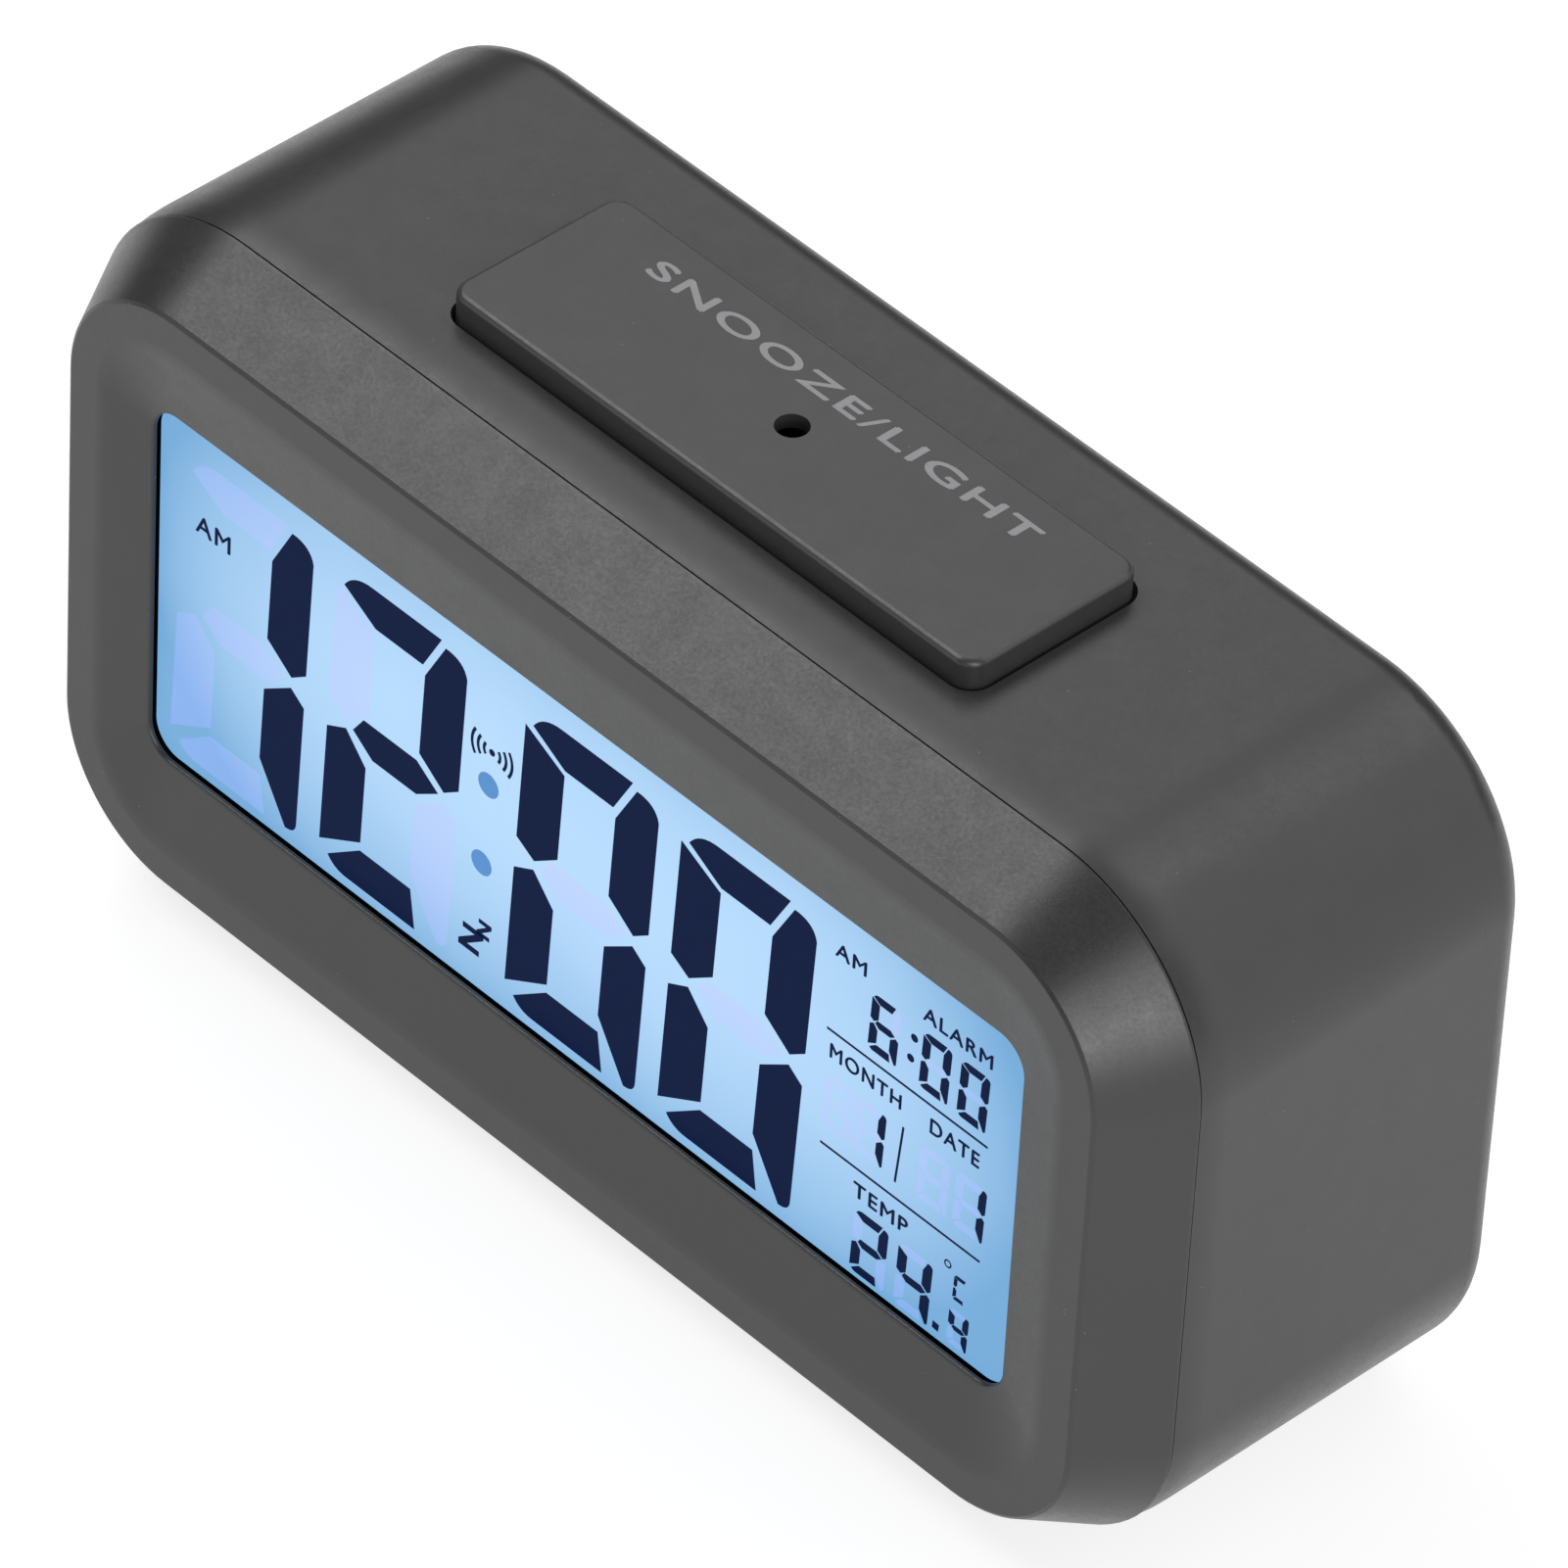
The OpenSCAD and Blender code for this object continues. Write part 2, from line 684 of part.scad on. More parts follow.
module case_posts() {
    inside = body_d - rear_wall;
    for (x = [-screw_x, screw_x])
        for (z = screw_zs)
            peg(x, z, post_split, inside - post_split + eps, post_r);
    for (x = [-key_post_x, key_post_x])
        peg(x, key_row_z, key_board_hi, inside - key_board_hi + eps, key_post_r);
    peg(-side_x, key_post_z, key_board_hi, inside - key_board_hi + eps, key_post_r);
    for (x = [-snooze_post_x, snooze_post_x])
        translate([x, front_y + bar_depth, snooze_board_hi])
            cylinder(h = case_top_in - snooze_board_hi + eps, r = board_post_r);
    difference() {
        peg(side_x, side_z, sound_depth - 1, inside - sound_depth + 1 + eps, piezo_r + 1.3);
        peg(side_x, side_z, sound_depth - 2, 2, piezo_r + fit_gap);
        peg(side_x, side_z, sound_depth - 2, inside, piezo_r - 0.6);
    }
}

module case_wells() {
    for (x = [-screw_x, screw_x])
        for (z = screw_zs) {
            peg(x, z, post_split + well_floor, body_d, well_r);
            peg(x, z, post_split - 1, body_d, case_screw_r + shank_gap);
        }
    for (x = [-key_post_x, key_post_x])
        peg(x, key_row_z, key_board_hi - 1, board_screw_l + 0.6, board_screw_r + thread_gap);
    peg(-side_x, key_post_z, key_board_hi - 1, board_screw_l + 0.6, board_screw_r + thread_gap);
    for (x = [-snooze_post_x, snooze_post_x])
        translate([x, front_y + bar_depth, snooze_board_hi - 1])
            cylinder(h = board_screw_l + 0.6, r = board_screw_r + thread_gap);
}

module battery_bay() {
    rib_t = 0.5;
    difference() {
        block(0, bay_z + bay_h / 2, bay_floor - bay_wall, bay_outer_w, bay_h + 2 * bay_wall,
            body_d - rear_wall - bay_floor + bay_wall + eps);
        block(0, bay_z + bay_h / 2, bay_floor, bay_w, bay_h, body_d);
    }
    for (i = [1:cell_count - 1])
        block(0, cell_z(i) - (cell_d + cell_gap) / 2, bay_floor - eps, cell_l - 8, rib_t, 3);
}

module bay_opening() {
    lug_room = 0.2;
    block(0, bay_z + bay_h / 2, door_rest - seat_gap, bay_w + 2 * door_ledge, bay_h + 2 * door_ledge, door_t + 1);
    block(0, bay_z + bay_h / 2, door_rest - 1, bay_w, bay_h, 2);
    for (s = [-1, 1]) {
        block(s * tab_x, bay_z - 2, body_d - 6.6, tab_w + 0.8, 4.2, 6.6 - door_t - 0.5);
        for (i = [0:cell_count - 1])
            block(s * (bay_w / 2 - plate_t / 2), cell_z(i), bay_floor - bay_wall - 1, plate_t + 2 * lug_room, 4.4, bay_wall + 2);
    }
    finger_recess();
}

// Shallow round hollow over the door's top edge, for a fingertip
module finger_recess() {
    ball_r = 4.2;
    sink = 1.2;
    translate([0, front_y + body_d + ball_r - sink, door_hi - 0.5]) sphere(r = ball_r, $fn = 64);
}

module key_pad() {
    block(0, key_row_z, strip_in, (key_count - 1) * key_pitch + 2 * strip_half, 2 * strip_half, rear_wall);
}

module key_holes() {
    facing(strip_depth) translate([0, key_row_z, 0])
        linear_extrude(key_strip_sink + 1)
            rounded_rect((key_count - 1) * key_pitch + 2 * strip_half - 2, 2 * strip_half - 2, strip_half - 1.5);
    for (i = [0:key_count - 1])
        peg(key_x(i), key_row_z, strip_in - 1, rear_wall + 2, key_r + key_gap);
}

module lever_slot() {
    slot_l = lever_t + lever_travel + 2 * lever_room;
    block(-side_x, side_z, body_d - lever_sink, slot_l + 4, lever_t + 3, lever_sink + 1);
    block(-side_x, side_z, body_d - rear_wall - 1, slot_l, lever_t + 2 * lever_room, rear_wall + 2);
}

module sound_holes() {
    hole_r = 0.8;
    peg(side_x, side_z, sound_depth, body_d, hole_r);
    for (k = [0:5])
        peg(side_x + 3.4 * cos(60 * k), side_z + 3.4 * sin(60 * k), sound_depth, body_d, hole_r);
    for (k = [0:11])
        peg(side_x + 6.8 * cos(30 * k), side_z + 6.8 * sin(30 * k), sound_depth, body_d, hole_r);
}

module snooze_slot() {
    translate([0, front_y + bar_depth, case_top_in - 1])
        linear_extrude(wall + 2)
            rounded_rect(bar_w + 2 * bar_gap, bar_d + 2 * bar_gap, bar_r + bar_gap);
}

module case_screws() {
    color("#a8abb0")
        for (x = [-screw_x, screw_x])
            for (z = screw_zs)
                facing(post_split + well_floor)
                    translate([x, z, 0]) screw(case_screw_r, case_screw_l, case_head_r, case_head_t);
}

// ---------- battery ----------

module battery_door() {
    color("#4f5054")
        difference() {
            union() {
                layer(door_w, hinge_z, door_hi, door_rest, door_t);
                translate([-door_w / 2, front_y + hinge_depth, hinge_z])
                    rotate([0, 90, 0]) cylinder(h = door_w, r = hinge_r);
                for (s = [-1, 1]) {
                    block(s * tab_x, door_lo + (tab_neck + 1 - tab_reach) / 2, body_d - tab_face - tab_t,
                        tab_w, tab_reach + tab_neck + 1, tab_t);
                    block(s * tab_x, door_lo + tab_neck + 0.5, body_d - tab_face - tab_t, tab_w, 1,
                        tab_face + tab_t - door_t + eps);
                }
                block(0, door_hi - 2.6, door_rest - 1.3, 8, 1.2, 1.3 + eps);
                block(0, door_hi - 1.8, door_rest - 1.3, 8, 0.8, 0.7);
            }
            for (i = [0:3])
                block(0, door_hi - 5 - i * 1.6, body_d - 0.4, 16 - i * 3, 0.7, 1);
            finger_recess();
        }
}

// One cell lying along X; its button points along dir
module cell(i) {
    dir = cell_dir(i);
    case_l = cell_l - nub_l;
    translate([dir * cell_x, front_y + cell_depth, cell_z(i)])
        rotate([0, 90 * dir, 0])
            translate([0, 0, -cell_l / 2]) {
                cylinder(h = case_l, r = cell_d / 2);
                translate([0, 0, case_l - eps]) cylinder(h = nub_l, r = 1.9);
            }
}

module cell_1() { color("#2f6db3") cell(0); }
module cell_2() { color("#2f6db3") cell(1); }
module cell_3() { color("#2f6db3") cell(2); }

// Plates at the bay's ends; a lug of each reaches through the bay's floor
module contact_plates() {
    color("#c7c9cc")
        for (s = [-1, 1]) {
            for (i = [0:cell_count - 1]) {
                block(s * (bay_w / 2 - plate_t / 2), cell_z(i), bay_floor + 0.6, plate_t, 8.4, 9);
                if (cell_dir(i) == s)
                    block(s * (bay_w / 2 - plate_t - pad_t / 2), cell_z(i), cell_depth - 2, pad_t, 4, 4);
            }
            lone = s < 0 ? 0 : 2;
            pair = s < 0 ? 1.5 : 0.5;
            block(s * (bay_w / 2 - plate_t / 2), cell_z(lone), bay_floor - bay_wall - lug_l, plate_t, 4,
                bay_wall + lug_l + 2);
            block(s * (bay_w / 2 - plate_t / 2), cell_z(pair), cell_depth - 1.5, plate_t, 6, 3);
        }
}

// Conical wire springs at the cells' flat ends
module contact_springs() {
    wire_r = 0.3;
    turns = 4;
    steps = 14;
    wide = 3.6;
    narrow = 2;
    color("#d5d7da")
        for (i = [0:cell_count - 1]) {
            s = -cell_dir(i);
            wall_x = bay_w / 2 - plate_t;
            cell_end = cell_l / 2 - cell_x;
            reach = wall_x - cell_end - 2 * wire_r - 0.1;
            path = [for (k = [0:turns * steps]) let (t = k / (turns * steps), r = wide + (narrow - wide) * t)
                [s * (wall_x - wire_r - reach * t),
                    front_y + cell_depth + r * cos(360 * k / steps),
                    cell_z(i) + r * sin(360 * k / steps)]];
            tube(path, wire_r, 6);
        }
}

module positive_lead() { color("#b8261f") lead(positive_route); }
module negative_lead() { color("#202020") lead(negative_route); }

// ---------- sound ----------

module sound_disc() {
    color("#c9a44c") peg(side_x, side_z, sound_depth - 0.25, 0.25, piezo_r);
}

module sound_ceramic() {
    color("#e9e6dc") peg(side_x, side_z, sound_depth - 0.45, 0.2, piezo_r * 0.7);
}

module sound_leads() {
    color("#b8261f") lead(sound_route);
    color("#202020") lead(sound_route, 2);
}

// ---------- snooze bar ----------

module snooze_bar() {
    color("#505155")
        difference() {
            translate([0, front_y + bar_depth, 0]) {
                translate([0, 0, flange_hi - flange_t])
                    linear_extrude(bar_top - bar_edge_r - flange_hi + flange_t) rounded_rect(bar_w, bar_d, bar_r);
                translate([0, 0, bar_top - bar_edge_r - eps])
                    linear_extrude(bar_edge_r + eps)
                        rounded_rect(bar_w - 2 * bar_edge_r, bar_d - 2 * bar_edge_r, bar_r - bar_edge_r);
                translate([0, 0, bar_top - bar_edge_r])
                    rim(bar_w, bar_d, bar_r)
                        translate([-bar_edge_r, 0])
                            intersection() {
                                circle(r = bar_edge_r);
                                square(bar_edge_r);
                            }
                translate([0, 0, flange_hi - flange_t])
                    linear_extrude(flange_t)
                        rounded_rect(bar_w + 2 * bar_flange, bar_d + 2 * bar_flange, bar_r + bar_flange);
            }
            difference() {
                translate([0, front_y + bar_depth, flange_hi - flange_t - 1])
                    linear_extrude(bar_under - flange_hi + flange_t + 1)
                        rounded_rect(bar_w - 2 * bar_wall, bar_d - 2 * bar_wall, 0.4);
                for (s = [-1, 1])
                    translate([s * bar_switch_x, front_y + bar_depth, flange_hi - flange_t - 2])
                        cylinder(h = bar_top, r = 2);
            }
            translate([0, front_y + bar_depth, bar_under - 1]) cylinder(h = bar_wall + 2, r = sensor_hole_r);
        }
    color("#505155")
        for (s = [-1, 1])
            translate([s * bar_switch_x, front_y + bar_depth, bar_post_z])
                cylinder(h = flange_hi - flange_t - bar_post_z + 1, r = 2);
}

module snooze_plungers() {
    color("#1d1d1f")
        for (s = [-1, 1])
            translate([s * bar_switch_x, front_y + bar_depth, bar_post_z - plunger_show - plunger_in])
                cylinder(h = plunger_show + plunger_in, r = plunger_r);
}

module snooze_switches() {
    bore = plunger_in + bar_travel + 0.1;
    color("#2c2c30")
        for (s = [-1, 1])
            translate([s * bar_switch_x, front_y + bar_depth, snooze_board_hi])
                difference() {
                    translate([-switch_w / 2, -switch_w / 2, 0]) cube([switch_w, switch_w, switch_h]);
                    translate([0, 0, switch_h - bore]) cylinder(h = bore + 1, r = plunger_r + slide_gap);
                }
}

module snooze_board() {
    color("#1f6b46")
        difference() {
            translate([-snooze_board_w / 2, front_y + bar_depth - snooze_board_d / 2, snooze_board_lo])
                cube([snooze_board_w, snooze_board_d, board_t]);
            for (x = [-snooze_post_x, snooze_post_x])
                translate([x, front_y + bar_depth, snooze_board_lo - 1])
                    cylinder(h = board_t + 2, r = board_screw_r + shank_gap);
        }
}

module light_sensor() {
    color("#b5482e")
        translate([0, front_y + bar_depth, sensor_hi - sensor_t]) cylinder(h = sensor_t, r = sensor_r);
    color("#c9ccd0")
        for (s = [-1, 1])
            translate([s * 0.7, front_y + bar_depth, snooze_board_hi])
                cylinder(h = sensor_hi - sensor_t - snooze_board_hi + eps, r = 0.25);
}

module snooze_board_screws() {
    color("#b9bcc0")
        for (x = [-snooze_post_x, snooze_post_x])
            translate([x, front_y + bar_depth, snooze_board_lo])
                mirror([0, 0, 1]) screw(board_screw_r, board_screw_l, board_head_r, board_head_t);
}

module snooze_leads() {
    color("#d9a020") lead(snooze_route);
    color("#2a7a3c") lead(snooze_route, -2);
}

// ---------- rear keys ----------

module key_board() {
    left = -side_x - key_leg;
    right = (key_count - 1) / 2 * key_pitch + strip_half;
    color("#1f6b46")
        difference() {
            union() {
                block((left + right) / 2, key_row_z, key_board_lo, right - left, 2 * strip_half, board_t);
                block(-side_x, (key_row_z + side_z) / 2 - 3, key_board_lo, 2 * key_leg, key_row_z - side_z + 6, board_t);
            }
            for (x = [-key_post_x, key_post_x])
                peg(x, key_row_z, key_board_lo - 1, board_t + 2, board_screw_r + shank_gap);
            peg(-side_x, key_post_z, key_board_lo - 1, board_t + 2, board_screw_r + shank_gap);
        }
}

module key_switches() {
    bore = plunger_in + key_travel + 0.1;
    color("#2c2c30")
        for (i = [0:key_count - 1])
            difference() {
                block(key_x(i), key_row_z, key_board_hi, switch_w, switch_w, switch_h);
                peg(key_x(i), key_row_z, key_switch_hi - bore, bore + 1, plunger_r + slide_gap);
            }
}

module key_board_screws() {
    color("#b9bcc0") {
        for (x = [-key_post_x, key_post_x])
            key_board_screw(x, key_row_z);
        key_board_screw(-side_x, key_post_z);
    }
}

module key_board_screw(x, z) {
    facing(key_board_lo) translate([x, z, 0])
        mirror([0, 0, 1]) screw(board_screw_r, board_screw_l, board_head_r, board_head_t);
}

module key(i) {
    dome = 0.5;
    color("#3a3b3f") {
        peg(key_x(i), key_row_z, key_flange_hi - eps, key_face - dome - key_flange_hi + eps, key_r);
        facing(key_face - dome) translate([key_x(i), key_row_z, 0]) cylinder(h = dome, r1 = key_r, r2 = key_r - dome);
        peg(key_x(i), key_row_z, key_flange_hi - key_flange_t, key_flange_t, key_r + key_gap + key_flange);
        peg(key_x(i), key_row_z, key_plunger_hi, key_stem_l + eps, key_stem_r);
    }
}

module key_plunger(i) {
    color("#d8d8d4")
        peg(key_x(i), key_row_z, key_switch_hi - plunger_in, key_plunger_hi - key_switch_hi + plunger_in, plunger_r);
}

module mode_key() { key(0); }
module set_key() { key(1); }
module up_key() { key(2); }
module down_key() { key(3); }
module alarm_key() { key(4); }
module mode_plunger() { key_plunger(0); }
module set_plunger() { key_plunger(1); }
module up_plunger() { key_plunger(2); }
module down_plunger() { key_plunger(3); }
module alarm_plunger() { key_plunger(4); }

module slide_switch() {
    slot_l = lever_t + lever_travel + 2 * lever_room;
    color("#b4b7bb")
        difference() {
            block(-side_x, side_z, key_board_hi, switch_len, switch_wid, 5);
            block(-side_x, side_z, key_board_hi + 2.5, slot_l, lever_t + 2 * lever_room, 5);
        }
}

module slide_lever() {
    first = key_board_hi + 2.6;
    x = -side_x - lever_travel / 2;
    color("#e4e4e0")
        difference() {
            block(x, side_z, first, lever_t, lever_t, lever_face - first);
            for (s = [-1, 1])
                block(x + s * lever_t / 4, side_z, lever_face - 0.3, 0.3, lever_t + 1, 1);
        }
}

module key_ribbon() {
    ribbon_w = 12;
    t = 0.5;
    hi = key_row_z - 3;
    lo = mid_z + 6;
    color("#c9c6bd")
        translate([-8 - ribbon_w / 2, 0, 0])
            rotate([90, 0, 90])
                linear_extrude(ribbon_w)
                    polygon([
                        [front_y + key_board_lo, hi], [front_y + key_board_lo - 4, hi],
                        [front_y + key_board_lo - 10, lo + 1], [front_y + d_board_rear, lo],
                        [front_y + d_board_rear, lo - t], [front_y + key_board_lo - 9.6, lo + 1 - t],
                        [front_y + key_board_lo - 3.6, hi - t], [front_y + key_board_lo, hi - t],
                    ]);
}

front_bezel();
display_gasket();
front_polariser();
lcd_front_glass();
lcd_rear_glass();
rear_polariser();
diffuser_sheet();
light_guide();
reflector_sheet();
display_tray();
backlight_lamps();
contact_strip();
main_board();
chip_cover();
crystal();
surface_parts();
capacitor();
thermistor();
board_screws();
rear_case();
case_screws();
battery_door();
cell_1();
cell_2();
cell_3();
contact_plates();
contact_springs();
positive_lead();
negative_lead();
sound_disc();
sound_ceramic();
sound_leads();
snooze_bar();
snooze_plungers();
snooze_switches();
snooze_board();
light_sensor();
snooze_board_screws();
snooze_leads();
key_board();
key_switches();
key_board_screws();
mode_key();
set_key();
up_key();
down_key();
alarm_key();
mode_plunger();
set_plunger();
up_plunger();
down_plunger();
alarm_plunger();
slide_switch();
slide_lever();
key_ribbon();
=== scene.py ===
# %% [markdown]
# # A table alarm clock with a backlit display
# This notebook dresses a packed mechanical model of a small alarm clock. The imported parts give
# every place and size. What follows adds the soft-edged front shell, the printed and lit marks,
# and a finish for each part, from the satin grey case to the springs in the battery bay.

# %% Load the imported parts
import bpy
import bmesh
from math import cos, pi, radians, sin, tan
from mathutils import Matrix, Vector


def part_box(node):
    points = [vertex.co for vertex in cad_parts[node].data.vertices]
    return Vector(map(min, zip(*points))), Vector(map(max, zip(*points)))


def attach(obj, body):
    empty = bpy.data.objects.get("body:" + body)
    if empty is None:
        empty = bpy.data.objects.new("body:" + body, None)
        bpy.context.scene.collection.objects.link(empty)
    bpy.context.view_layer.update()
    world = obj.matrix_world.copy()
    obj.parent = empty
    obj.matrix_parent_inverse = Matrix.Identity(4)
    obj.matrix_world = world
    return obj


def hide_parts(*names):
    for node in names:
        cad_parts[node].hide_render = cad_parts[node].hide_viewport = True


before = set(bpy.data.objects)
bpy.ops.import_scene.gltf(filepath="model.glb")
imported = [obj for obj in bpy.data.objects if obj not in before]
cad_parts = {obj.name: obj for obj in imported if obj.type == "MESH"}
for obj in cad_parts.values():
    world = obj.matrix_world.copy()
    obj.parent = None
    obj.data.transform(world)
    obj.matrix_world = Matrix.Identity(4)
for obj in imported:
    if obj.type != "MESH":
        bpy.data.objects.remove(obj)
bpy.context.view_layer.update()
MM = 0.001

# %% [markdown]
# ## Sizes
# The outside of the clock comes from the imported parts. The few sizes that a bounding box can't
# tell, such as how far the rim tapers, are written here once in millimetres, in the order in
# which a finger would meet them when it runs from the seam over the rim to the window.

# %% Sizes of the front shell
shell_low, shell_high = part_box("front_bezel")
BODY_W = (shell_high.x - shell_low.x) / MM
BODY_H = (shell_high.z - shell_low.z) / MM
FRONT = shell_low.y / MM
CORNER_R = 17.8
TAPER_DEPTH = 7.9
SEAM = 0.08
TAPER_INSET = 4.6
RING_W = 4.0
SLOPE_SIDE = 5.4
SLOPE_TOP = 7.85
SLOPE_BOTTOM = 8.75
SLOPE_DEPTH = 1.3
LIP = 0.5
WINDOW_R = 3.0
WALL = 2.0
SKIRT_IN = 2.2
SKIRT_WALL = 1.5
SKIRT_DEPTH = (shell_high.y - shell_low.y) / MM
INSET_RING = TAPER_INSET + RING_W
INSET_WINDOW = INSET_RING + SLOPE_SIDE
print(f"front shell {BODY_W:.1f} x {BODY_H:.1f} mm, front plane at y = {FRONT:.1f} mm")

# %% Place of the window
WINDOW_W = BODY_W - 2 * INSET_WINDOW
WINDOW_H = BODY_H - 2 * INSET_RING - SLOPE_TOP - SLOPE_BOTTOM
WINDOW_Z = BODY_H / 2 + (SLOPE_BOTTOM - SLOPE_TOP) / 2
WINDOW_LEFT = -WINDOW_W / 2
WINDOW_TOP = WINDOW_Z + WINDOW_H / 2
FILM = (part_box("front_polariser")[0].y / MM) - FRONT
print(f"window {WINDOW_W:.1f} x {WINDOW_H:.1f} mm, film {FILM:.2f} mm behind the front plane")

# %% [markdown]
# ## Camera
# The camera stands to the right of the clock and well above it, far away with a long lens, so the
# clock's edges stay nearly parallel, as in a catalogue picture. Its angles place its three axes:
# backwards, to the right and up. A small roll tips the picture.

# %% Camera
AZIMUTH = radians(44.77)
ELEVATION = radians(41.55)
ROLL = radians(3.22)
LENS = 323.9
SENSOR = 36
SIGHT = 20
AIM = Vector((0, -0.8, 35)) * MM
OFFSET = Vector((-2.808, -1.647, -1194.14)) * MM

back = Vector((sin(AZIMUTH) * cos(ELEVATION), -cos(AZIMUTH) * cos(ELEVATION), sin(ELEVATION)))
level_right = Vector((cos(AZIMUTH), sin(AZIMUTH), 0))
level_up = back.cross(level_right)
right = level_right * cos(ROLL) + level_up * sin(ROLL)
up = level_up * cos(ROLL) - level_right * sin(ROLL)
turn = Matrix((right, up, back)).transposed()

camera_data = bpy.data.cameras.new("camera")
camera_data.lens = LENS
camera_data.sensor_width = SENSOR
camera_data.clip_end = SIGHT
camera = bpy.data.objects.new("camera", camera_data)
camera.matrix_world = Matrix.Translation(AIM - turn @ OFFSET) @ turn.to_4x4()
bpy.context.scene.collection.objects.link(camera)
bpy.context.scene.camera = camera
print("camera stands at", [round(v, 3) for v in camera.matrix_world.translation])

# %% [markdown]
# ## Writing a material as sums
# A shader is a web of small boxes. Here a socket is wrapped in a class that knows plus, minus,
# times and divide, so a formula in Python becomes Math nodes. Every other box comes from one
# method, `add`, which takes the node's type, its settings and what goes into its sockets.


# %% Sockets that can be added and multiplied
class Wire:
    """An output socket that takes part in sums."""

    def __init__(self, finish, socket):
        self.finish = finish
        self.socket = socket

    def sum_with(self, operation, first, second):
        return self.finish.add("ShaderNodeMath", {"operation": operation}, {0: first, 1: second})

    def __add__(self, other):
        return self.sum_with("ADD", self, other)

    def __radd__(self, other):
        return self.sum_with("ADD", other, self)

    def __sub__(self, other):
        return self.sum_with("SUBTRACT", self, other)

    def __rsub__(self, other):
        return self.sum_with("SUBTRACT", other, self)

    def __mul__(self, other):
        return self.sum_with("MULTIPLY", self, other)

    def __rmul__(self, other):
        return self.sum_with("MULTIPLY", other, self)

    def __truediv__(self, other):
        return self.sum_with("DIVIDE", self, other)

    def above(self, limit):
        return self.sum_with("GREATER_THAN", self, limit)

    def below(self, limit):
        return self.sum_with("LESS_THAN", self, limit)


# %% A finish: one material with its shader
class Finish:
    """A material with a Principled shader, and the ways to feed its sockets."""

    def __init__(self, name, **fixed):
        self.material = bpy.data.materials.new(name)
        self.material.use_nodes = True
        self.tree = self.material.node_tree
        self.tree.nodes.clear()
        self.shader = self.tree.nodes.new("ShaderNodeBsdfPrincipled")
        output = self.tree.nodes.new("ShaderNodeOutputMaterial")
        self.tree.links.new(self.shader.outputs[0], output.inputs["Surface"])
        for socket, value in fixed.items():
            self.feed(socket.replace("_", " "), value)
        self.place = self.add("ShaderNodeTexCoord", out="Object")

    def plug(self, socket, value):
        if isinstance(value, Wire):
            self.tree.links.new(value.socket, socket)
        else:
            socket.default_value = value

    def feed(self, name, value):
        self.plug(self.shader.inputs[name], value)

    def add(self, kind, settings=None, sockets=None, out=0):
        """Any node: its settings are set first, then the values or links of its sockets."""
        node = self.tree.nodes.new(kind)
        for name, value in (settings or {}).items():
            setattr(node, name, value)
        for name, value in (sockets or {}).items():
            self.plug(node.inputs[name], value)
        return Wire(self, node.outputs[out])

    def noise(self, size_mm, detail=2.0, rough=0.5):
        """Soft clouds from 0 to 1 whose blots are about size_mm across."""
        sockets = {"Vector": self.place, "Scale": 1 / (size_mm * MM), "Detail": detail,
                   "Roughness": rough}
        return self.add("ShaderNodeTexNoise", None, sockets)

    def mix(self, share, first, second):
        """A colour between two, by a share from 0 to 1."""
        colours = {0: share, 6: first, 7: second}
        return self.add("ShaderNodeMix", {"data_type": "RGBA"}, colours, out=2)

    def bumps(self, height, depth_mm):
        """Tilts the shading as if the surface had that relief."""
        sockets = {"Height": height, "Distance": depth_mm * MM, "Strength": 1.0}
        self.feed("Normal", self.add("ShaderNodeBump", None, sockets))

    def axis(self, letter):
        """One coordinate of the surface point, in metres."""
        return self.add("ShaderNodeSeparateXYZ", None, {0: self.place}, out=letter)


# %% Colours the way a screen shows them
def shade(red, green, blue):
    """A colour given as it looks on a screen, from 0 to 255, as the light values a shader takes."""
    light = []
    for value in (red, green, blue):
        v = value / 255
        light.append(v / 12.92 if v <= 0.04045 else ((v + 0.055) / 1.055) ** 2.4)
    return (*light, 1.0)


def scaled(colour, factor):
    """The same hue, brighter or darker."""
    return (*[c * factor for c in colour[:3]], 1.0)


print("mid grey as light:", [round(v, 3) for v in shade(128, 128, 128)[:3]])

# %% [markdown]
# ## Moulded plastic
# The case is ABS plastic from a mould with a fine satin texture. Up close it has three scales: a
# grain of about a third of a millimetre that breaks up reflections, soft patches a centimetre
# wide where handling has polished it, and a few tiny specks of dust. Noise at each scale drives
# colour, roughness and a shallow bump. A flat colour with one roughness would look like a
# drawing.


# %% Moulded plastic
PATCH_MM = 13.0
SMEAR_MM = 3.2
DUST_GAP_MM = 1.9
DUST_FIELD_MM = 5.0
SPECK_REACH = 0.045
BARE_SHARE = 0.56
PALE_GRAIN = 1.5
PALE_DUST = 6.0


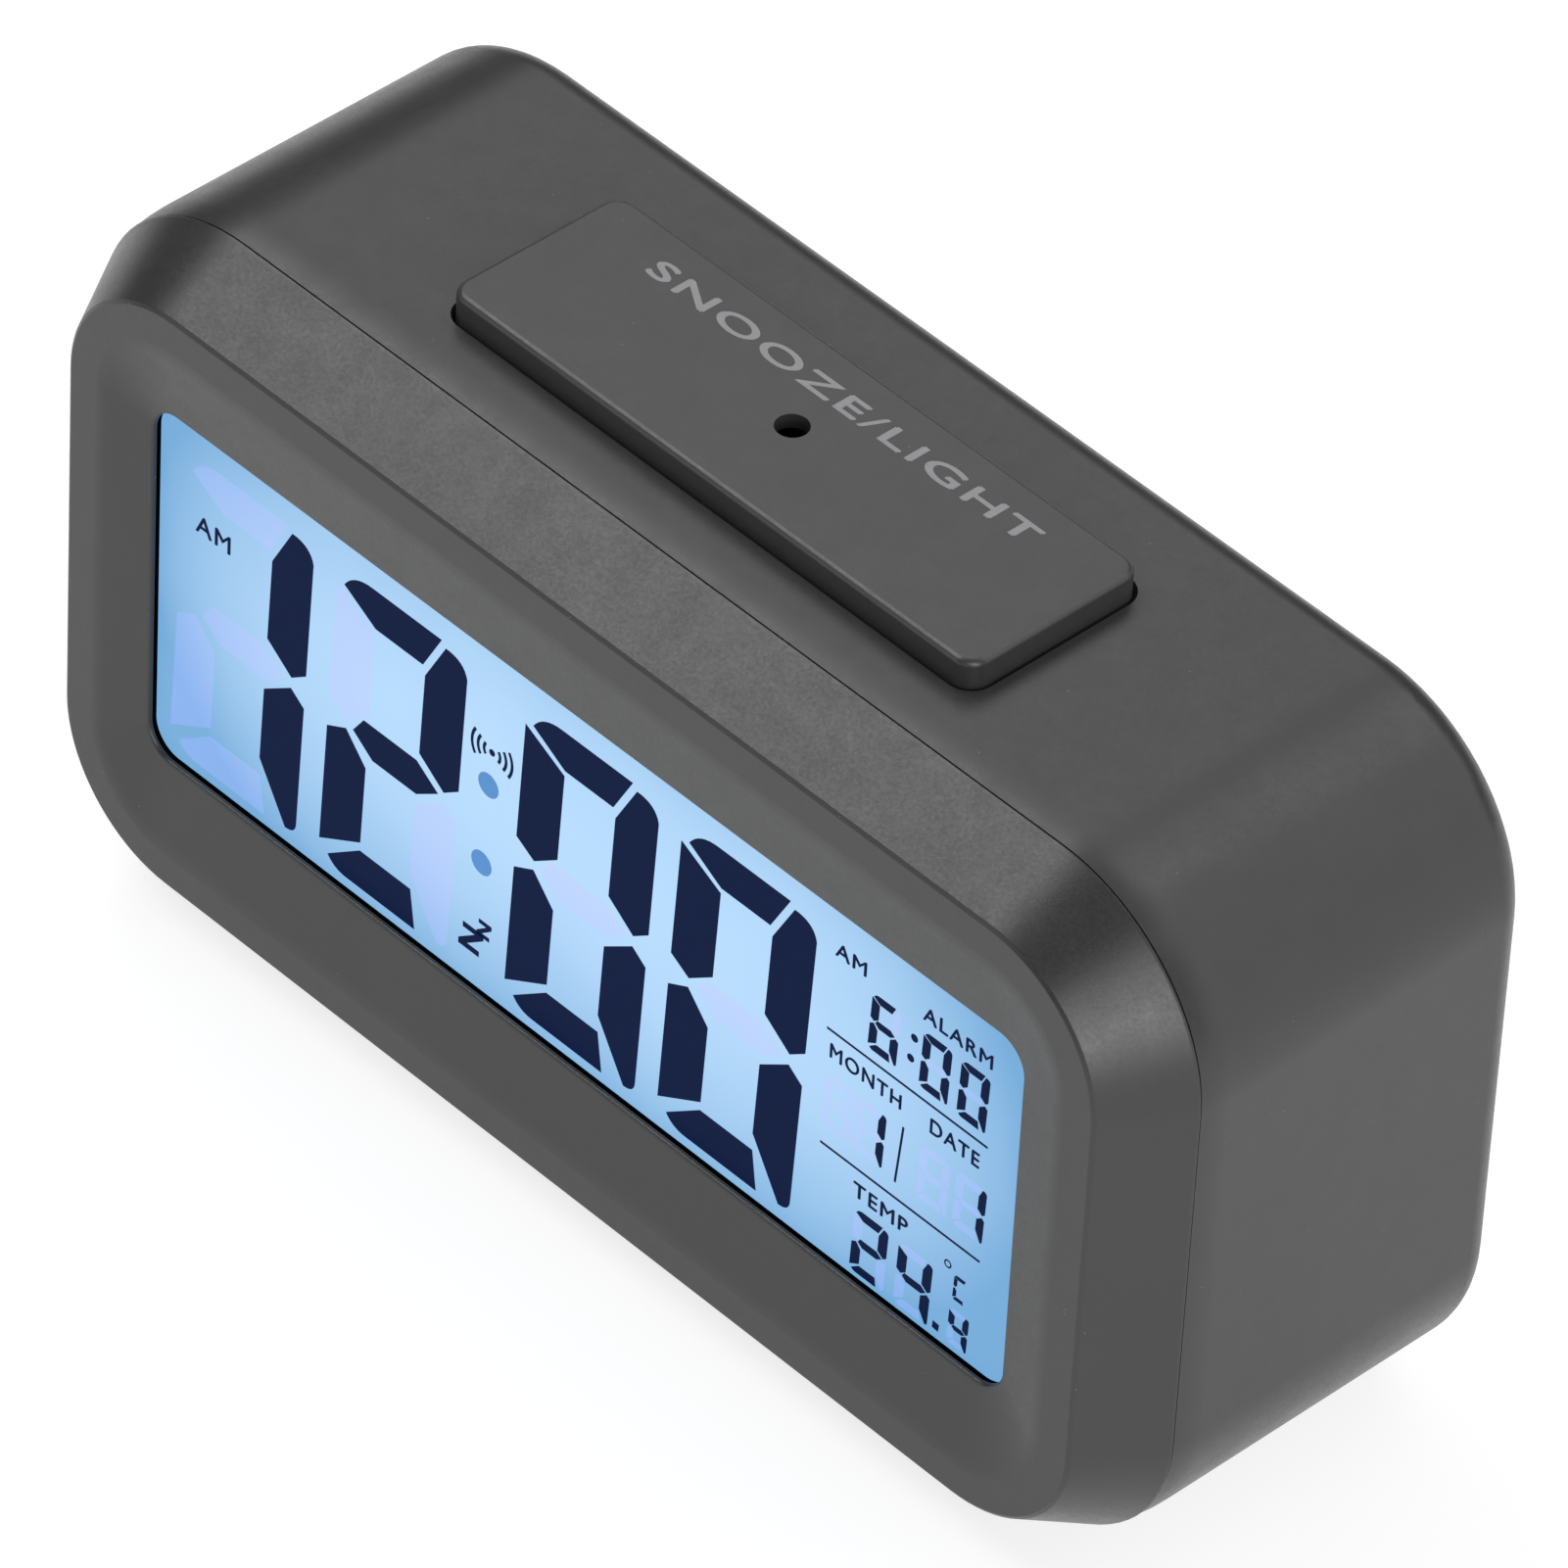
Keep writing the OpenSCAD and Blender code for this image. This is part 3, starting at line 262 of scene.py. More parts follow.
def moulded(name, colour, rough=0.36, grain=0.32, relief=0.006, dust=0.6, patch=0.1):
    """Satin plastic; grain is the grain's size in mm, patch how much the broad patches differ."""
    plastic = Finish(name, Specular_IOR_Level=0.5)
    grains = plastic.noise(grain, 3.0)
    patches = plastic.noise(PATCH_MM, 2.0)
    smears = plastic.noise(SMEAR_MM, 3.0, 0.6)
    cell = {"Vector": plastic.place, "Scale": 1 / (DUST_GAP_MM * MM)}
    speck = plastic.add("ShaderNodeTexVoronoi", None, cell).below(SPECK_REACH)
    sparse = plastic.noise(DUST_FIELD_MM, 1.0).above(BARE_SHARE)
    tint = plastic.mix(patches, scaled(colour, 1 - patch), scaled(colour, 1 + patch))
    mottled = plastic.mix(grains * 0.5, tint, scaled(colour, PALE_GRAIN))
    dusty = plastic.mix(speck * sparse * dust, mottled, scaled(colour, PALE_DUST))
    plastic.feed("Base Color", dusty)
    plastic.feed("Roughness", rough + (grains - 0.5) * 0.24 + (smears - 0.5) * 0.12)
    plastic.bumps(grains + smears * 0.5, relief)
    return plastic.material


CASE_GREY = shade(41, 41, 41)
case_plastic = moulded("case_plastic", CASE_GREY)
bezel_plastic = moulded("bezel_plastic", scaled(CASE_GREY, 1.02))
bar_plastic = moulded("bar_plastic", scaled(CASE_GREY, 1.3), grain=0.28)
door_plastic = moulded("door_plastic", scaled(CASE_GREY, 0.97))
key_plastic = moulded("key_plastic", scaled(CASE_GREY, 0.6), rough=0.32, relief=0.003)
lever_plastic = moulded("lever_plastic", scaled(CASE_GREY, 0.5), rough=0.34, relief=0.003)
white_plastic = moulded("white_plastic", shade(226, 226, 222), rough=0.45, dust=0.0, patch=0.02)
switch_plastic = moulded("switch_plastic", shade(38, 38, 40), rough=0.4, dust=0.2)
plunger_plastic = moulded("plunger_plastic", shade(214, 210, 200), rough=0.35, dust=0.0, patch=0.02)
print("plastics made:", len(bpy.data.materials))

# %% [markdown]
# ## Metals
# The springs and battery plates are nickel-plated steel, the screws are zinc-plated, the crystal
# has a drawn can and the sounder a brass disc. All are one recipe: full metal, with fine streaks
# that change the roughness and a hint of tarnish in the colour.


# %% Metal
STREAK_MM = 0.5
STAIN_MM = 2.6
TARNISH = 0.25
TARNISH_SHADE = 0.45


def metal(name, colour, rough):
    steel = Finish(name, Metallic=1.0)
    streaks = steel.noise(STREAK_MM, 4.0, 0.65)
    stains = steel.noise(STAIN_MM, 3.0)
    steel.feed("Base Color", steel.mix(stains * TARNISH, colour, scaled(colour, TARNISH_SHADE)))
    steel.feed("Roughness", rough + (streaks - 0.5) * 0.22 + stains * 0.06)
    steel.bumps(streaks, 0.003)
    return steel.material


contact_steel = metal("contact_steel", shade(214, 212, 206), 0.24)
screw_steel = metal("screw_steel", shade(196, 196, 192), 0.3)
case_screw_steel = metal("case_screw_steel", shade(88, 86, 84), 0.36)
metal_can = metal("metal_can", shade(206, 206, 204), 0.22)
switch_steel = metal("switch_steel", shade(204, 204, 200), 0.28)
sound_brass = metal("sound_brass", shade(214, 176, 96), 0.26)
print("metals made")

# %% [markdown]
# ## Small parts inside
# Behind the display sit sheets, foam, a circuit board and wires. They show only when the door is
# open or a shell is off, and each still gets its own recipe: a mottled colour, a roughness that
# varies, and a relief at the scale of what it is made of.


# %% Mottled stuff
def stuff(name, dark, light, blot, rough, relief=0.01):
    """Anything mottled between two colours, with blots about blot millimetres across."""
    matter = Finish(name)
    blots = matter.noise(blot, 4.0, 0.6)
    fine = matter.noise(blot * 0.3, 2.0)
    matter.feed("Base Color", matter.mix(blots, dark, light))
    matter.feed("Roughness", rough + (fine - 0.5) * 0.2)
    matter.bumps(blots + fine * 0.5, relief)
    return matter.material


foam = stuff("foam", shade(12, 12, 13), shade(30, 30, 32), 0.25, 0.9, 0.03)
white_sheet = stuff("white_sheet", shade(232, 234, 234), shade(246, 247, 247), 2.0, 0.6)
contact_rubber = stuff("contact_rubber", shade(28, 28, 30), shade(150, 150, 148), 0.2, 0.7)
black_epoxy = stuff("black_epoxy", shade(14, 14, 15), shade(26, 26, 28), 2.0, 0.22, 0.02)
chip_ceramic = stuff("chip_ceramic", shade(120, 98, 70), shade(168, 148, 116), 0.5, 0.5)
capacitor_sleeve = stuff("capacitor_sleeve", shade(18, 24, 44), shade(30, 38, 64), 3.0, 0.3)
thermistor_bead = stuff("thermistor_bead", shade(20, 18, 16), shade(40, 34, 28), 0.6, 0.35)
red_lead = stuff("red_lead", shade(150, 20, 18), shade(186, 34, 28), 1.4, 0.42)
black_lead = stuff("black_lead", shade(16, 16, 17), shade(30, 30, 31), 1.4, 0.42)
sound_lead = stuff("sound_lead", shade(40, 60, 130), shade(60, 84, 160), 1.4, 0.42)
yellow_lead = stuff("yellow_lead", shade(196, 150, 34), shade(220, 178, 58), 1.4, 0.42)
sound_ceramic = stuff("sound_ceramic", shade(206, 202, 190), shade(228, 226, 216), 0.8, 0.4)
ribbon = stuff("ribbon", shade(196, 198, 196), shade(220, 222, 220), 0.7, 0.5)
rear_film = stuff("rear_film", shade(92, 96, 104), shade(110, 116, 124), 4.0, 0.25)
sensor = stuff("sensor", shade(10, 10, 12), shade(22, 20, 24), 0.8, 0.18)
print("inner stuffs made")


# %% [markdown]
# ## Circuit board, clear sheets and lamps
# A circuit board is glass cloth in green resin over copper tracks, the window and the light guide
# are clear, and the small lamps glow behind their lenses. None of them fits the mottled recipe,
# so each gets its own: the board's tracks are islands of noise cut off at a level, with bricks as
# the straight lanes between them, and the clear sheets let most of the light through.


# %% Circuit board, clear sheets and lamps
LANE_MM = 9
TRACK_MM = 3.0
TRACK_LEVEL = 0.52


def board_laminate():
    board = Finish("circuit_board", Coat_Roughness=0.25)
    weave = board.noise(0.5, 3.0)
    bricks = {"Vector": board.place, "Scale": 1 / (LANE_MM * MM)}
    lane = board.add("ShaderNodeTexBrick", None, bricks, out="Fac")
    tracks = board.noise(TRACK_MM, 0.0).above(TRACK_LEVEL)
    green = board.mix(tracks, shade(18, 74, 44), shade(30, 104, 62))
    board.feed("Base Color", board.mix(lane * 0.5 + weave * 0.15, green, shade(44, 122, 78)))
    board.feed("Roughness", 0.4 + (weave - 0.5) * 0.15)
    board.bumps(tracks + weave * 0.2, 0.02)
    return board.material


def clear_sheet(name, colour, rough):
    sheet = Finish(name, IOR=1.49, Transmission_Weight=0.85)
    smears = sheet.noise(6.0, 3.0)
    sheet.feed("Base Color", sheet.mix(smears, colour, scaled(colour, 0.94)))
    sheet.feed("Roughness", rough + smears * 0.06)
    return sheet.material


def lamp_lens():
    lens = Finish("lamp", Emission_Strength=1.6)
    glow = lens.noise(0.8, 2.0)
    lens.feed("Base Color", lens.mix(glow, shade(240, 238, 214), shade(250, 246, 190)))
    lens.feed("Emission Color", lens.mix(glow, shade(150, 190, 250), shade(200, 224, 255)))
    lens.feed("Roughness", 0.3 + glow * 0.2)
    return lens.material


circuit_board = board_laminate()
display_glass = clear_sheet("display_glass", shade(236, 242, 240), 0.03)
clear_acrylic = clear_sheet("clear_acrylic", shade(244, 248, 250), 0.06)
lamp = lamp_lens()
print("board, clear sheets and lamps made")

# %% [markdown]
# ## Cell jackets
# A cell wears a shrunk plastic sleeve: dark over most of its length with a copper band at its
# positive end. The cells lie along X, and every second one lies the other way round, so the band
# is set by how far a point is from the middle of the bay.


# %% Cell jacket
ROW_LOW = 20.2
ROW_HIGH = 31.4
BAND_START = 12.0
BUTTON_START = 23.5
FOOT_END = -19.4


def cell_wrap():
    """Band, button end and foot, told apart by the place along the cell in millimetres."""
    wrap = Finish("cell_jacket", Coat_Roughness=0.12, Coat_Weight=0.4)
    along = wrap.axis("X")
    height = wrap.axis("Z")
    middle_row = (height - ROW_LOW * MM).above(0) * (height - ROW_HIGH * MM).below(0)
    facing = 1 - 2 * middle_row
    at = along * facing
    band = at.above(BAND_START * MM)
    tip = at.above(BUTTON_START * MM) + at.below(FOOT_END * MM)
    scuffs = wrap.noise(1.2, 4.0)
    sleeve = wrap.mix(band, shade(24, 26, 30), shade(176, 104, 48))
    sleeve_worn = wrap.mix(scuffs * 0.3, sleeve, shade(70, 66, 64))
    wrap.feed("Base Color", wrap.mix(tip, sleeve_worn, shade(200, 200, 196)))
    wrap.feed("Metallic", band * 0.7 + tip * 0.3)
    wrap.feed("Roughness", 0.28 + (scuffs - 0.5) * 0.15)
    wrap.bumps(scuffs, 0.004)
    return wrap.material


cell_jacket = cell_wrap()
print("cell jacket made")

# %% [markdown]
# ## The glowing film
# The display is a stack of glass and films with a blue light behind it. What the eye meets is the
# front film, so the film's own shader glows: paler blue in the middle, where the lamps' light has
# spread, and deeper blue toward the edges. The distance from the middle sets the share of each
# colour: its fourth power counts sideways, so the pale part is broad and falls off near the ends,
# and its square up and down. Soft clouds keep the change from looking ruled.


# %% Film that glows
GLOW_ACROSS = 0.51
GLOW_UP = 0.7
GLOW_RAISED = 4


def glowing(name, edge, middle):
    film = Finish(name, Specular_IOR_Level=0.03, Emission_Strength=1.0)
    film.feed("Base Color", (0.004, 0.005, 0.006, 1.0))
    across = film.axis("X") / (GLOW_ACROSS * WINDOW_W * MM)
    side = across * across
    height = (film.axis("Z") - (WINDOW_Z + GLOW_RAISED) * MM) / (GLOW_UP * WINDOW_H * MM)
    away = side * side + height * height
    spread = film.add("ShaderNodeClamp", None, {0: away})
    clouds = film.noise(14.0, 2.0)
    share = film.add("ShaderNodeClamp", None, {0: spread + (clouds - 0.5) * 0.22})
    film.feed("Emission Color", film.mix(share, middle, edge))
    film.feed("Roughness", 0.32 + (film.noise(0.4) - 0.5) * 0.12)
    return film.material


DEEP_BLUE = shade(118, 172, 218)
PALE_BLUE = shade(184, 220, 253)
display_film = glowing("display_film", DEEP_BLUE, PALE_BLUE)
unlit_glow = glowing("unlit_segments", shade(136, 178, 238), shade(190, 214, 254))
print("display finishes made")


# %% [markdown]
# ## Inks
# The dark strokes, the half-lit colon, the painted shade in the gap at the window's edge and the
# pad print on the plastic are all flat films. A stroke of the display isn't quite black, since some
# of the light behind it leaks through, so the strokes and the colon also glow faintly in their own
# blue.


# %% Inks: the dark segments, the half-lit colon and the print on the plastic
def ink(name, colour, rough=0.4, glow=None, gloss=0.3):
    """A flat film of colour; glow is the light that comes through it, if any does."""
    paint = Finish(name, Specular_IOR_Level=gloss, Emission_Strength=1.0 if glow else 0.0)
    blots = paint.noise(0.6, 3.0)
    paint.feed("Base Color", paint.mix(blots, scaled(colour, 0.9), scaled(colour, 1.1)))
    paint.feed("Roughness", rough + (blots - 0.5) * 0.12)
    if glow:
        paint.feed("Emission Color", paint.mix(blots, scaled(glow, 0.95), scaled(glow, 1.05)))
    return paint.material


dark_segment = ink("dark_segment", shade(3, 6, 14), glow=shade(5, 22, 60), gloss=0.02)
colon_blue = ink("colon_blue", shade(8, 14, 24), glow=shade(90, 145, 205), gloss=0.03)
# Painted shade: a near-black ink laid where the gap between the shell's lip and the recessed
# display lies in shade.
gap_shade_ink = ink("gap_shade_ink", shade(8, 8, 10), gloss=0.05)
grey_print = ink("grey_print", shade(138, 138, 140), rough=0.5)
print("inks made")

# %% [markdown]
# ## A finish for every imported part
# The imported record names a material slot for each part, and each part arrives with that slot's
# name on its material. One table turns slot names into the finishes above, so no part keeps the
# plain colour that it came with.

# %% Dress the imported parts
finishes = {
    "bezel_plastic": bezel_plastic, "case_plastic": case_plastic, "bar_plastic": bar_plastic,
    "door_plastic": door_plastic, "foam": foam, "display_film": display_film,
    "display_glass": display_glass, "rear_film": rear_film, "white_sheet": white_sheet,
    "clear_acrylic": clear_acrylic, "white_plastic": white_plastic, "lamp": lamp,
    "contact_rubber": contact_rubber, "circuit_board": circuit_board, "black_epoxy": black_epoxy,
    "metal_can": metal_can, "chip_ceramic": chip_ceramic, "capacitor_sleeve": capacitor_sleeve,
    "thermistor_bead": thermistor_bead, "screw_steel": screw_steel,
    "case_screw_steel": case_screw_steel, "cell_jacket": cell_jacket,
    "contact_steel": contact_steel, "red_lead": red_lead, "black_lead": black_lead,
    "sound_lead": sound_lead, "yellow_lead": yellow_lead, "sound_brass": sound_brass,
    "sound_ceramic": sound_ceramic,
    "switch_plastic": switch_plastic, "plunger_plastic": plunger_plastic, "sensor": sensor,
    "key_plastic": key_plastic, "switch_steel": switch_steel, "lever_plastic": lever_plastic,
    "ribbon": ribbon,
}
for name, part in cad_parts.items():
    for socket in part.material_slots:
        plain = socket.material.name.split(".")[0]
        socket.material = finishes[plain]
print("dressed", len(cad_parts), "parts with", len(finishes), "finishes")

# %% [markdown]
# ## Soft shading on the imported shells
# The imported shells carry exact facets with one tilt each. The rolled front edge of the case is a
# row of narrow bands, and it should read as one curve. A short chain of geometry nodes joins the
# bands and smooths every edge that turns by less than a set angle, and a weighted-normal modifier
# keeps the large flats flat.


# %% Smooth by angle, then weigh by face
MERGE_MM = 0.002
FLAT_WEIGHT = 80


def soft_shading(angle):
    """A node tree that merges doubled points and smooths the edges flatter than the angle."""
    tree = bpy.data.node_groups.new("soft_shading", "GeometryNodeTree")
    tree.interface.new_socket("Geometry", in_out="INPUT", socket_type="NodeSocketGeometry")
    tree.interface.new_socket("Geometry", in_out="OUTPUT", socket_type="NodeSocketGeometry")
    start = tree.nodes.new("NodeGroupInput")
    end = tree.nodes.new("NodeGroupOutput")
    merge = tree.nodes.new("GeometryNodeMergeByDistance")
    merge.inputs["Distance"].default_value = MERGE_MM * MM
    faces = tree.nodes.new("GeometryNodeSetShadeSmooth")
    faces.domain = "FACE"
    edges = tree.nodes.new("GeometryNodeSetShadeSmooth")
    edges.domain = "EDGE"
    bend = tree.nodes.new("GeometryNodeInputMeshEdgeAngle")
    flat = tree.nodes.new("FunctionNodeCompare")
    flat.operation = "LESS_THAN"
    flat.inputs[1].default_value = angle
    tree.links.new(start.outputs[0], merge.inputs["Geometry"])
    tree.links.new(merge.outputs[0], faces.inputs["Geometry"])
    tree.links.new(faces.outputs[0], edges.inputs["Geometry"])
    tree.links.new(bend.outputs[0], flat.inputs[0])
    tree.links.new(flat.outputs[0], edges.inputs["Shade Smooth"])
    tree.links.new(edges.outputs[0], end.inputs[0])
    return tree


def soften(part, tree):
    nodes = part.modifiers.new("soft_shading", "NODES")
    nodes.node_group = tree
    weigh = part.modifiers.new("flats_stay_flat", "WEIGHTED_NORMAL")
    weigh.keep_sharp = True
    weigh.weight = FLAT_WEIGHT


gentle = soft_shading(radians(24))
for name in ("rear_case", "snooze_bar", "battery_door"):
    soften(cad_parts[name], gentle)
print("soft shading on the shells")

# %% [markdown]
# ## Outlines
# Everything on the front follows a rectangle with round corners. One function walks such an
# outline with a fixed number of points, so two outlines of different sizes can be joined point to
# point.


# %% Rounded outline
CORNER_STEPS = 20
EDGE_STEPS = 6


def rounded_outline(width, height, radius):
    """Points (x, z) round a rectangle centred on the origin, anticlockwise from the lower right."""
    points = []
    half_w = width / 2 - radius
    half_h = height / 2 - radius
    for corner, (sx, sz) in enumerate([(1, -1), (1, 1), (-1, 1), (-1, -1)]):
        start = corner * pi / 2 - pi / 2
        for step in range(CORNER_STEPS + 1):
            angle = start + step / CORNER_STEPS * pi / 2
            points.append(Vector((sx * half_w + radius * cos(angle),
                                  sz * half_h + radius * sin(angle))))
    spread = []
    for i, point in enumerate(points):
        spread.append(point)
        if i % (CORNER_STEPS + 1) == CORNER_STEPS:
            following = points[(i + 1) % len(points)]
            spread += [point.lerp(following, k / EDGE_STEPS) for k in range(1, EDGE_STEPS)]
    return spread


print("points on an outline:", len(rounded_outline(100, 50, 5)))


# %% [markdown]
# ## Putting a mesh into the scene
# Every new piece needs the same four things: an object, a place in the scene, a finish and the body
# that it moves with. One function does them all, so none is forgotten. A second one turns the loose
# points and faces of a bmesh into a mesh that is smooth where it curves and crisp where it turns
# sharply.


# %% Put a mesh into the scene
def piece(name, mesh, finish, body):
    """Names a mesh, gives it its finish and the body that it moves with."""
    thing = bpy.data.objects.new(name, mesh)
    bpy.context.scene.collection.objects.link(thing)
    mesh.materials.append(finish)
    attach(thing, body)
    return thing


def smooth_mesh(name, bm, angle):
    """Turns a bmesh into a mesh, shaded smooth except at edges sharper than the angle."""
    bmesh.ops.recalc_face_normals(bm, faces=bm.faces)
    mesh = bpy.data.meshes.new(name)
    bm.to_mesh(mesh)
    bm.free()
    mesh.polygons.foreach_set("use_smooth", [True] * len(mesh.polygons))
    mesh.set_sharp_from_angle(angle=angle)
    return mesh


# %% [markdown]
# ## The front shell
# On the real clock the front shell is one moulding: a rim that tapers outward to the seam, a flat
# ring, a shallow slope down to the window, a thin lip, and a skirt inside that finds its place in
# the case. It could be carved from a block, but a moulding's walls follow one another, so a
# cross-section carried round the outline is closer to how the tool that makes it is cut. The
# section is a closed loop of (inset, depth) points, and each corner is rounded by its own radius,
# because no moulded edge is truly sharp.


# %% Round the corners of a section
BEND_SHARE = 0.48
SHARP_BELOW = 0.01
SECTION_STEPS = 5


def rounded_section(corners):
    """A closed loop through (inset, depth, radius) corners, with an arc-like bend at each."""
    loop = []
    for i, (inset, depth, radius) in enumerate(corners):
        here = Vector((inset, depth))
        before = Vector(corners[i - 1][:2]) - here
        after = Vector(corners[(i + 1) % len(corners)][:2]) - here
        reach = min(radius, before.length * BEND_SHARE, after.length * BEND_SHARE)
        if reach < SHARP_BELOW:
            loop.append(here)
            continue
        first = here + before.normalized() * reach
        last = here + after.normalized() * reach
        for step in range(SECTION_STEPS + 1):
            t = step / SECTION_STEPS
            loop.append(first * (1 - t) ** 2 + here * (2 * t * (1 - t)) + last * t ** 2)
    return loop


LIP_BACK = SLOPE_DEPTH + LIP
CREASE = 0.14
bezel_section = rounded_section([
    (0.12, TAPER_DEPTH - SEAM, 0.16),
    (0.2, TAPER_DEPTH - 0.35, 0.3),
    (TAPER_INSET - 0.1, 0.22, 0.2),
    (TAPER_INSET + 0.04, CREASE, 0.05),
    (TAPER_INSET + 0.22, 0.0, 0.2),
    (INSET_RING, 0.0, 0.7),
    (INSET_WINDOW - 0.05, SLOPE_DEPTH, 0.3),
    (INSET_WINDOW, LIP_BACK, 0.08),
    (TAPER_INSET + WALL, LIP_BACK, 0.6),
    (SKIRT_IN + SKIRT_WALL, TAPER_DEPTH * 0.72, 0.5),
    (SKIRT_IN + SKIRT_WALL, SKIRT_DEPTH, 0.2),
    (SKIRT_IN, SKIRT_DEPTH, 0.2),
    (SKIRT_IN, TAPER_DEPTH - SEAM, 0.1),
])
print("points in the section:", len(bezel_section))


# %% Carry the section round the front
def front_outline(inset):
    """The outline at an inset: concentric on the rim and ring, then drawn toward the window."""
    rim = min(inset, INSET_RING)
    outline = rounded_outline(BODY_W - 2 * rim, BODY_H - 2 * rim, CORNER_R - rim)
    outline = [point + Vector((0, BODY_H / 2)) for point in outline]
    if inset <= INSET_RING:
        return outline
    window = rounded_outline(WINDOW_W, WINDOW_H, WINDOW_R)
    window = [point + Vector((0, WINDOW_Z)) for point in window]
    share = (inset - INSET_RING) / SLOPE_SIDE
    return [a.lerp(b, share) for a, b in zip(outline, window)]


def swept_ring(section, outline_at):
    """A closed band: every point of the section becomes one loop of vertices."""
    bm = bmesh.new()
    loops = []
    for inset, depth in section:
        y = (FRONT + depth) * MM
        loops.append([bm.verts.new((x * MM, y, z * MM)) for x, z in outline_at(inset)])
    for i, loop in enumerate(loops):
        following = loops[(i + 1) % len(loops)]
        for k in range(len(loop)):
            n = (k + 1) % len(loop)
            bm.faces.new((loop[k], loop[n], following[n], following[k]))
    return bm


shell = swept_ring(bezel_section, front_outline)
bezel = piece("front_shell", smooth_mesh("front_shell", shell, radians(30)), bezel_plastic,
              "case")
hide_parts("front_bezel")
weigh = bezel.modifiers.new("flats_stay_flat", "WEIGHTED_NORMAL")
weigh.keep_sharp = True
print("front shell faces:", len(bezel.data.polygons))

# %% [markdown]
# ## Marks on the display
# A liquid-crystal display shows what its etched electrodes allow: seven strokes for each digit, a
# few fixed words and small signs. Each stroke is a thin flat island. They could be painted by a
# shader, but real islands have crisp edges at any distance, so they are cut here as thin plates
# that lie on the film. Places are given from the window's upper left corner, right and down.

# %% Plates on a plane
FILM_SKIN = 0.03
PLATE = 0.02
FAINT_PLATE = 0.01
BEND_STEPS = 8


def on_display(x, down, lift=FILM_SKIN):
    """The place in space of a point on the display, lift millimetres in front of the film."""
    return Vector((WINDOW_LEFT + x, FRONT + FILM - lift, WINDOW_TOP - down)) * MM


def add_plate(bm, outline, place, lift, thickness=PLATE):
    """A thin plate with that outline; place turns a flat point and a lift into a point in space."""
    top = [bm.verts.new(place(x, y, lift)) for x, y in outline]
    base = [bm.verts.new(place(x, y, lift - thickness)) for x, y in outline]
    bm.faces.new(top)
    bm.faces.new(base[::-1])
    for i in range(len(outline)):
        n = (i + 1) % len(outline)
        bm.faces.new((top[i], base[i], base[n], top[n]))


def disc(x, y, radius, steps=28):
    """The outline of a round dot."""
    angles = [2 * pi * k / steps for k in range(steps)]
    return [(x + radius * cos(a), y + radius * sin(a)) for a in angles]


def bend(start, corner, end):
    """A smooth curve from start to end that leans toward the corner."""
    points = []
    for step in range(BEND_STEPS + 1):
        t = step / BEND_STEPS
        a, b, c = (1 - t) ** 2, 2 * t * (1 - t), t ** 2
        points.append(tuple(a * s + b * m + c * e for s, m, e in zip(start, corner, end)))
    return points


# %% [markdown]
# ## Seven-stroke digits
# The digits have broad uprights, pointed joints and round outer shoulders, and lean a little to
# the right. One function gives the seven outlines for any size, so the large time, the alarm time
# and the small date and temperature all share it.


# %% The seven strokes
def strokes(w, h, v, t):
    """Outlines of the strokes a to g in a box w by h, y down; v and t are the stroke widths."""
    m = h / 2
    return {
        "a": bend((0.18 * v, 0.44 * t), (0.38 * v, 0), (0.85 * v, 0))
        + [(w - 0.67 * v, 0), (w - 1.07 * v, t), (v, t)],
        "b": [(w - v, 1.24 * t)]
        + bend((w - 0.56 * v, 0.14 * t), (w - 0.1 * v, 0.12 * t), (w, 0.56 * t))
        + [(w, m - 0.46 * t), (w - 0.35 * v, m - 0.14 * t), (w - v, m - 0.7 * t)],
        "c": [(w - v, m + 0.7 * t), (w - 0.35 * v, m + 0.14 * t), (w, m + 0.44 * t)]
        + bend((w, h - 0.39 * t), (w, h - 0.1 * t), (w - 0.27 * v, h - 0.1 * t))
        + [(w - v, h - 1.45 * t)],
        "d": bend((0.23 * v, h - 0.27 * t), (0.4 * v, h), (0.72 * v, h))
        + [(w - 0.8 * v, h), (w - 0.97 * v, h - t), (v, h - t)],
        "e": [(0, m + 0.39 * t), (0.46 * v, m + 0.1 * t), (v, m + 0.78 * t),
              (v, h - 1.22 * t), (0, h - 0.53 * t)],
        "f": [(0, 0.53 * t), (v, 1.14 * t), (v, m - 0.63 * t), (0.46 * v, m - 0.14 * t),
              (0, m - 0.46 * t)],
        "g": [(0.63 * v, m), (0.87 * v, m - 0.46 * t), (w - 1.05 * v, m - 0.46 * t),
              (w - 0.48 * v, m), (w - v, m + 0.44 * t), (1.15 * v, m + 0.44 * t)],
    }


LIT = {"0": "abcdef", "1": "bc", "2": "abged", "4": "fgbc", "6": "afgedc", " ": ""}
LEAN = tan(radians(2.6))


def write_digit(lit, unlit, digit, left, top, w, h, v, t, absent=""):
    """Cuts one digit's dark strokes and the faint ones that are off, but no absent ones."""
    for letter, outline in strokes(w, h, v, t).items():
        if letter in absent:
            continue
        leaning = [(left + x + LEAN * (h / 2 - y), top + y) for x, y in outline]
        if letter in LIT[digit]:
            add_plate(lit, leaning, on_display, FILM_SKIN)
        else:
            add_plate(unlit, leaning, on_display, FILM_SKIN * 0.5, FAINT_PLATE)


# %% The time, the alarm time, the date and the temperature
TIME_TOP, TIME_SIZE = 3.55, (16.4, 34.25, 5.05, 4.2)
ALARM_TOP, ALARM_SIZE = 6.67, (3.4, 6.25, 0.95, 0.85)
DATE_TOP, DATE_SIZE = 18.9, (3.6, 6.1, 0.9, 0.85)
WARMTH_TOP, WARMTH_SIZE = 31.25, (4.1, 7.1, 1.1, 0.95)
TENTHS_TOP, TENTHS_SIZE = 34.2, (2.35, 4.0, 0.7, 0.6)

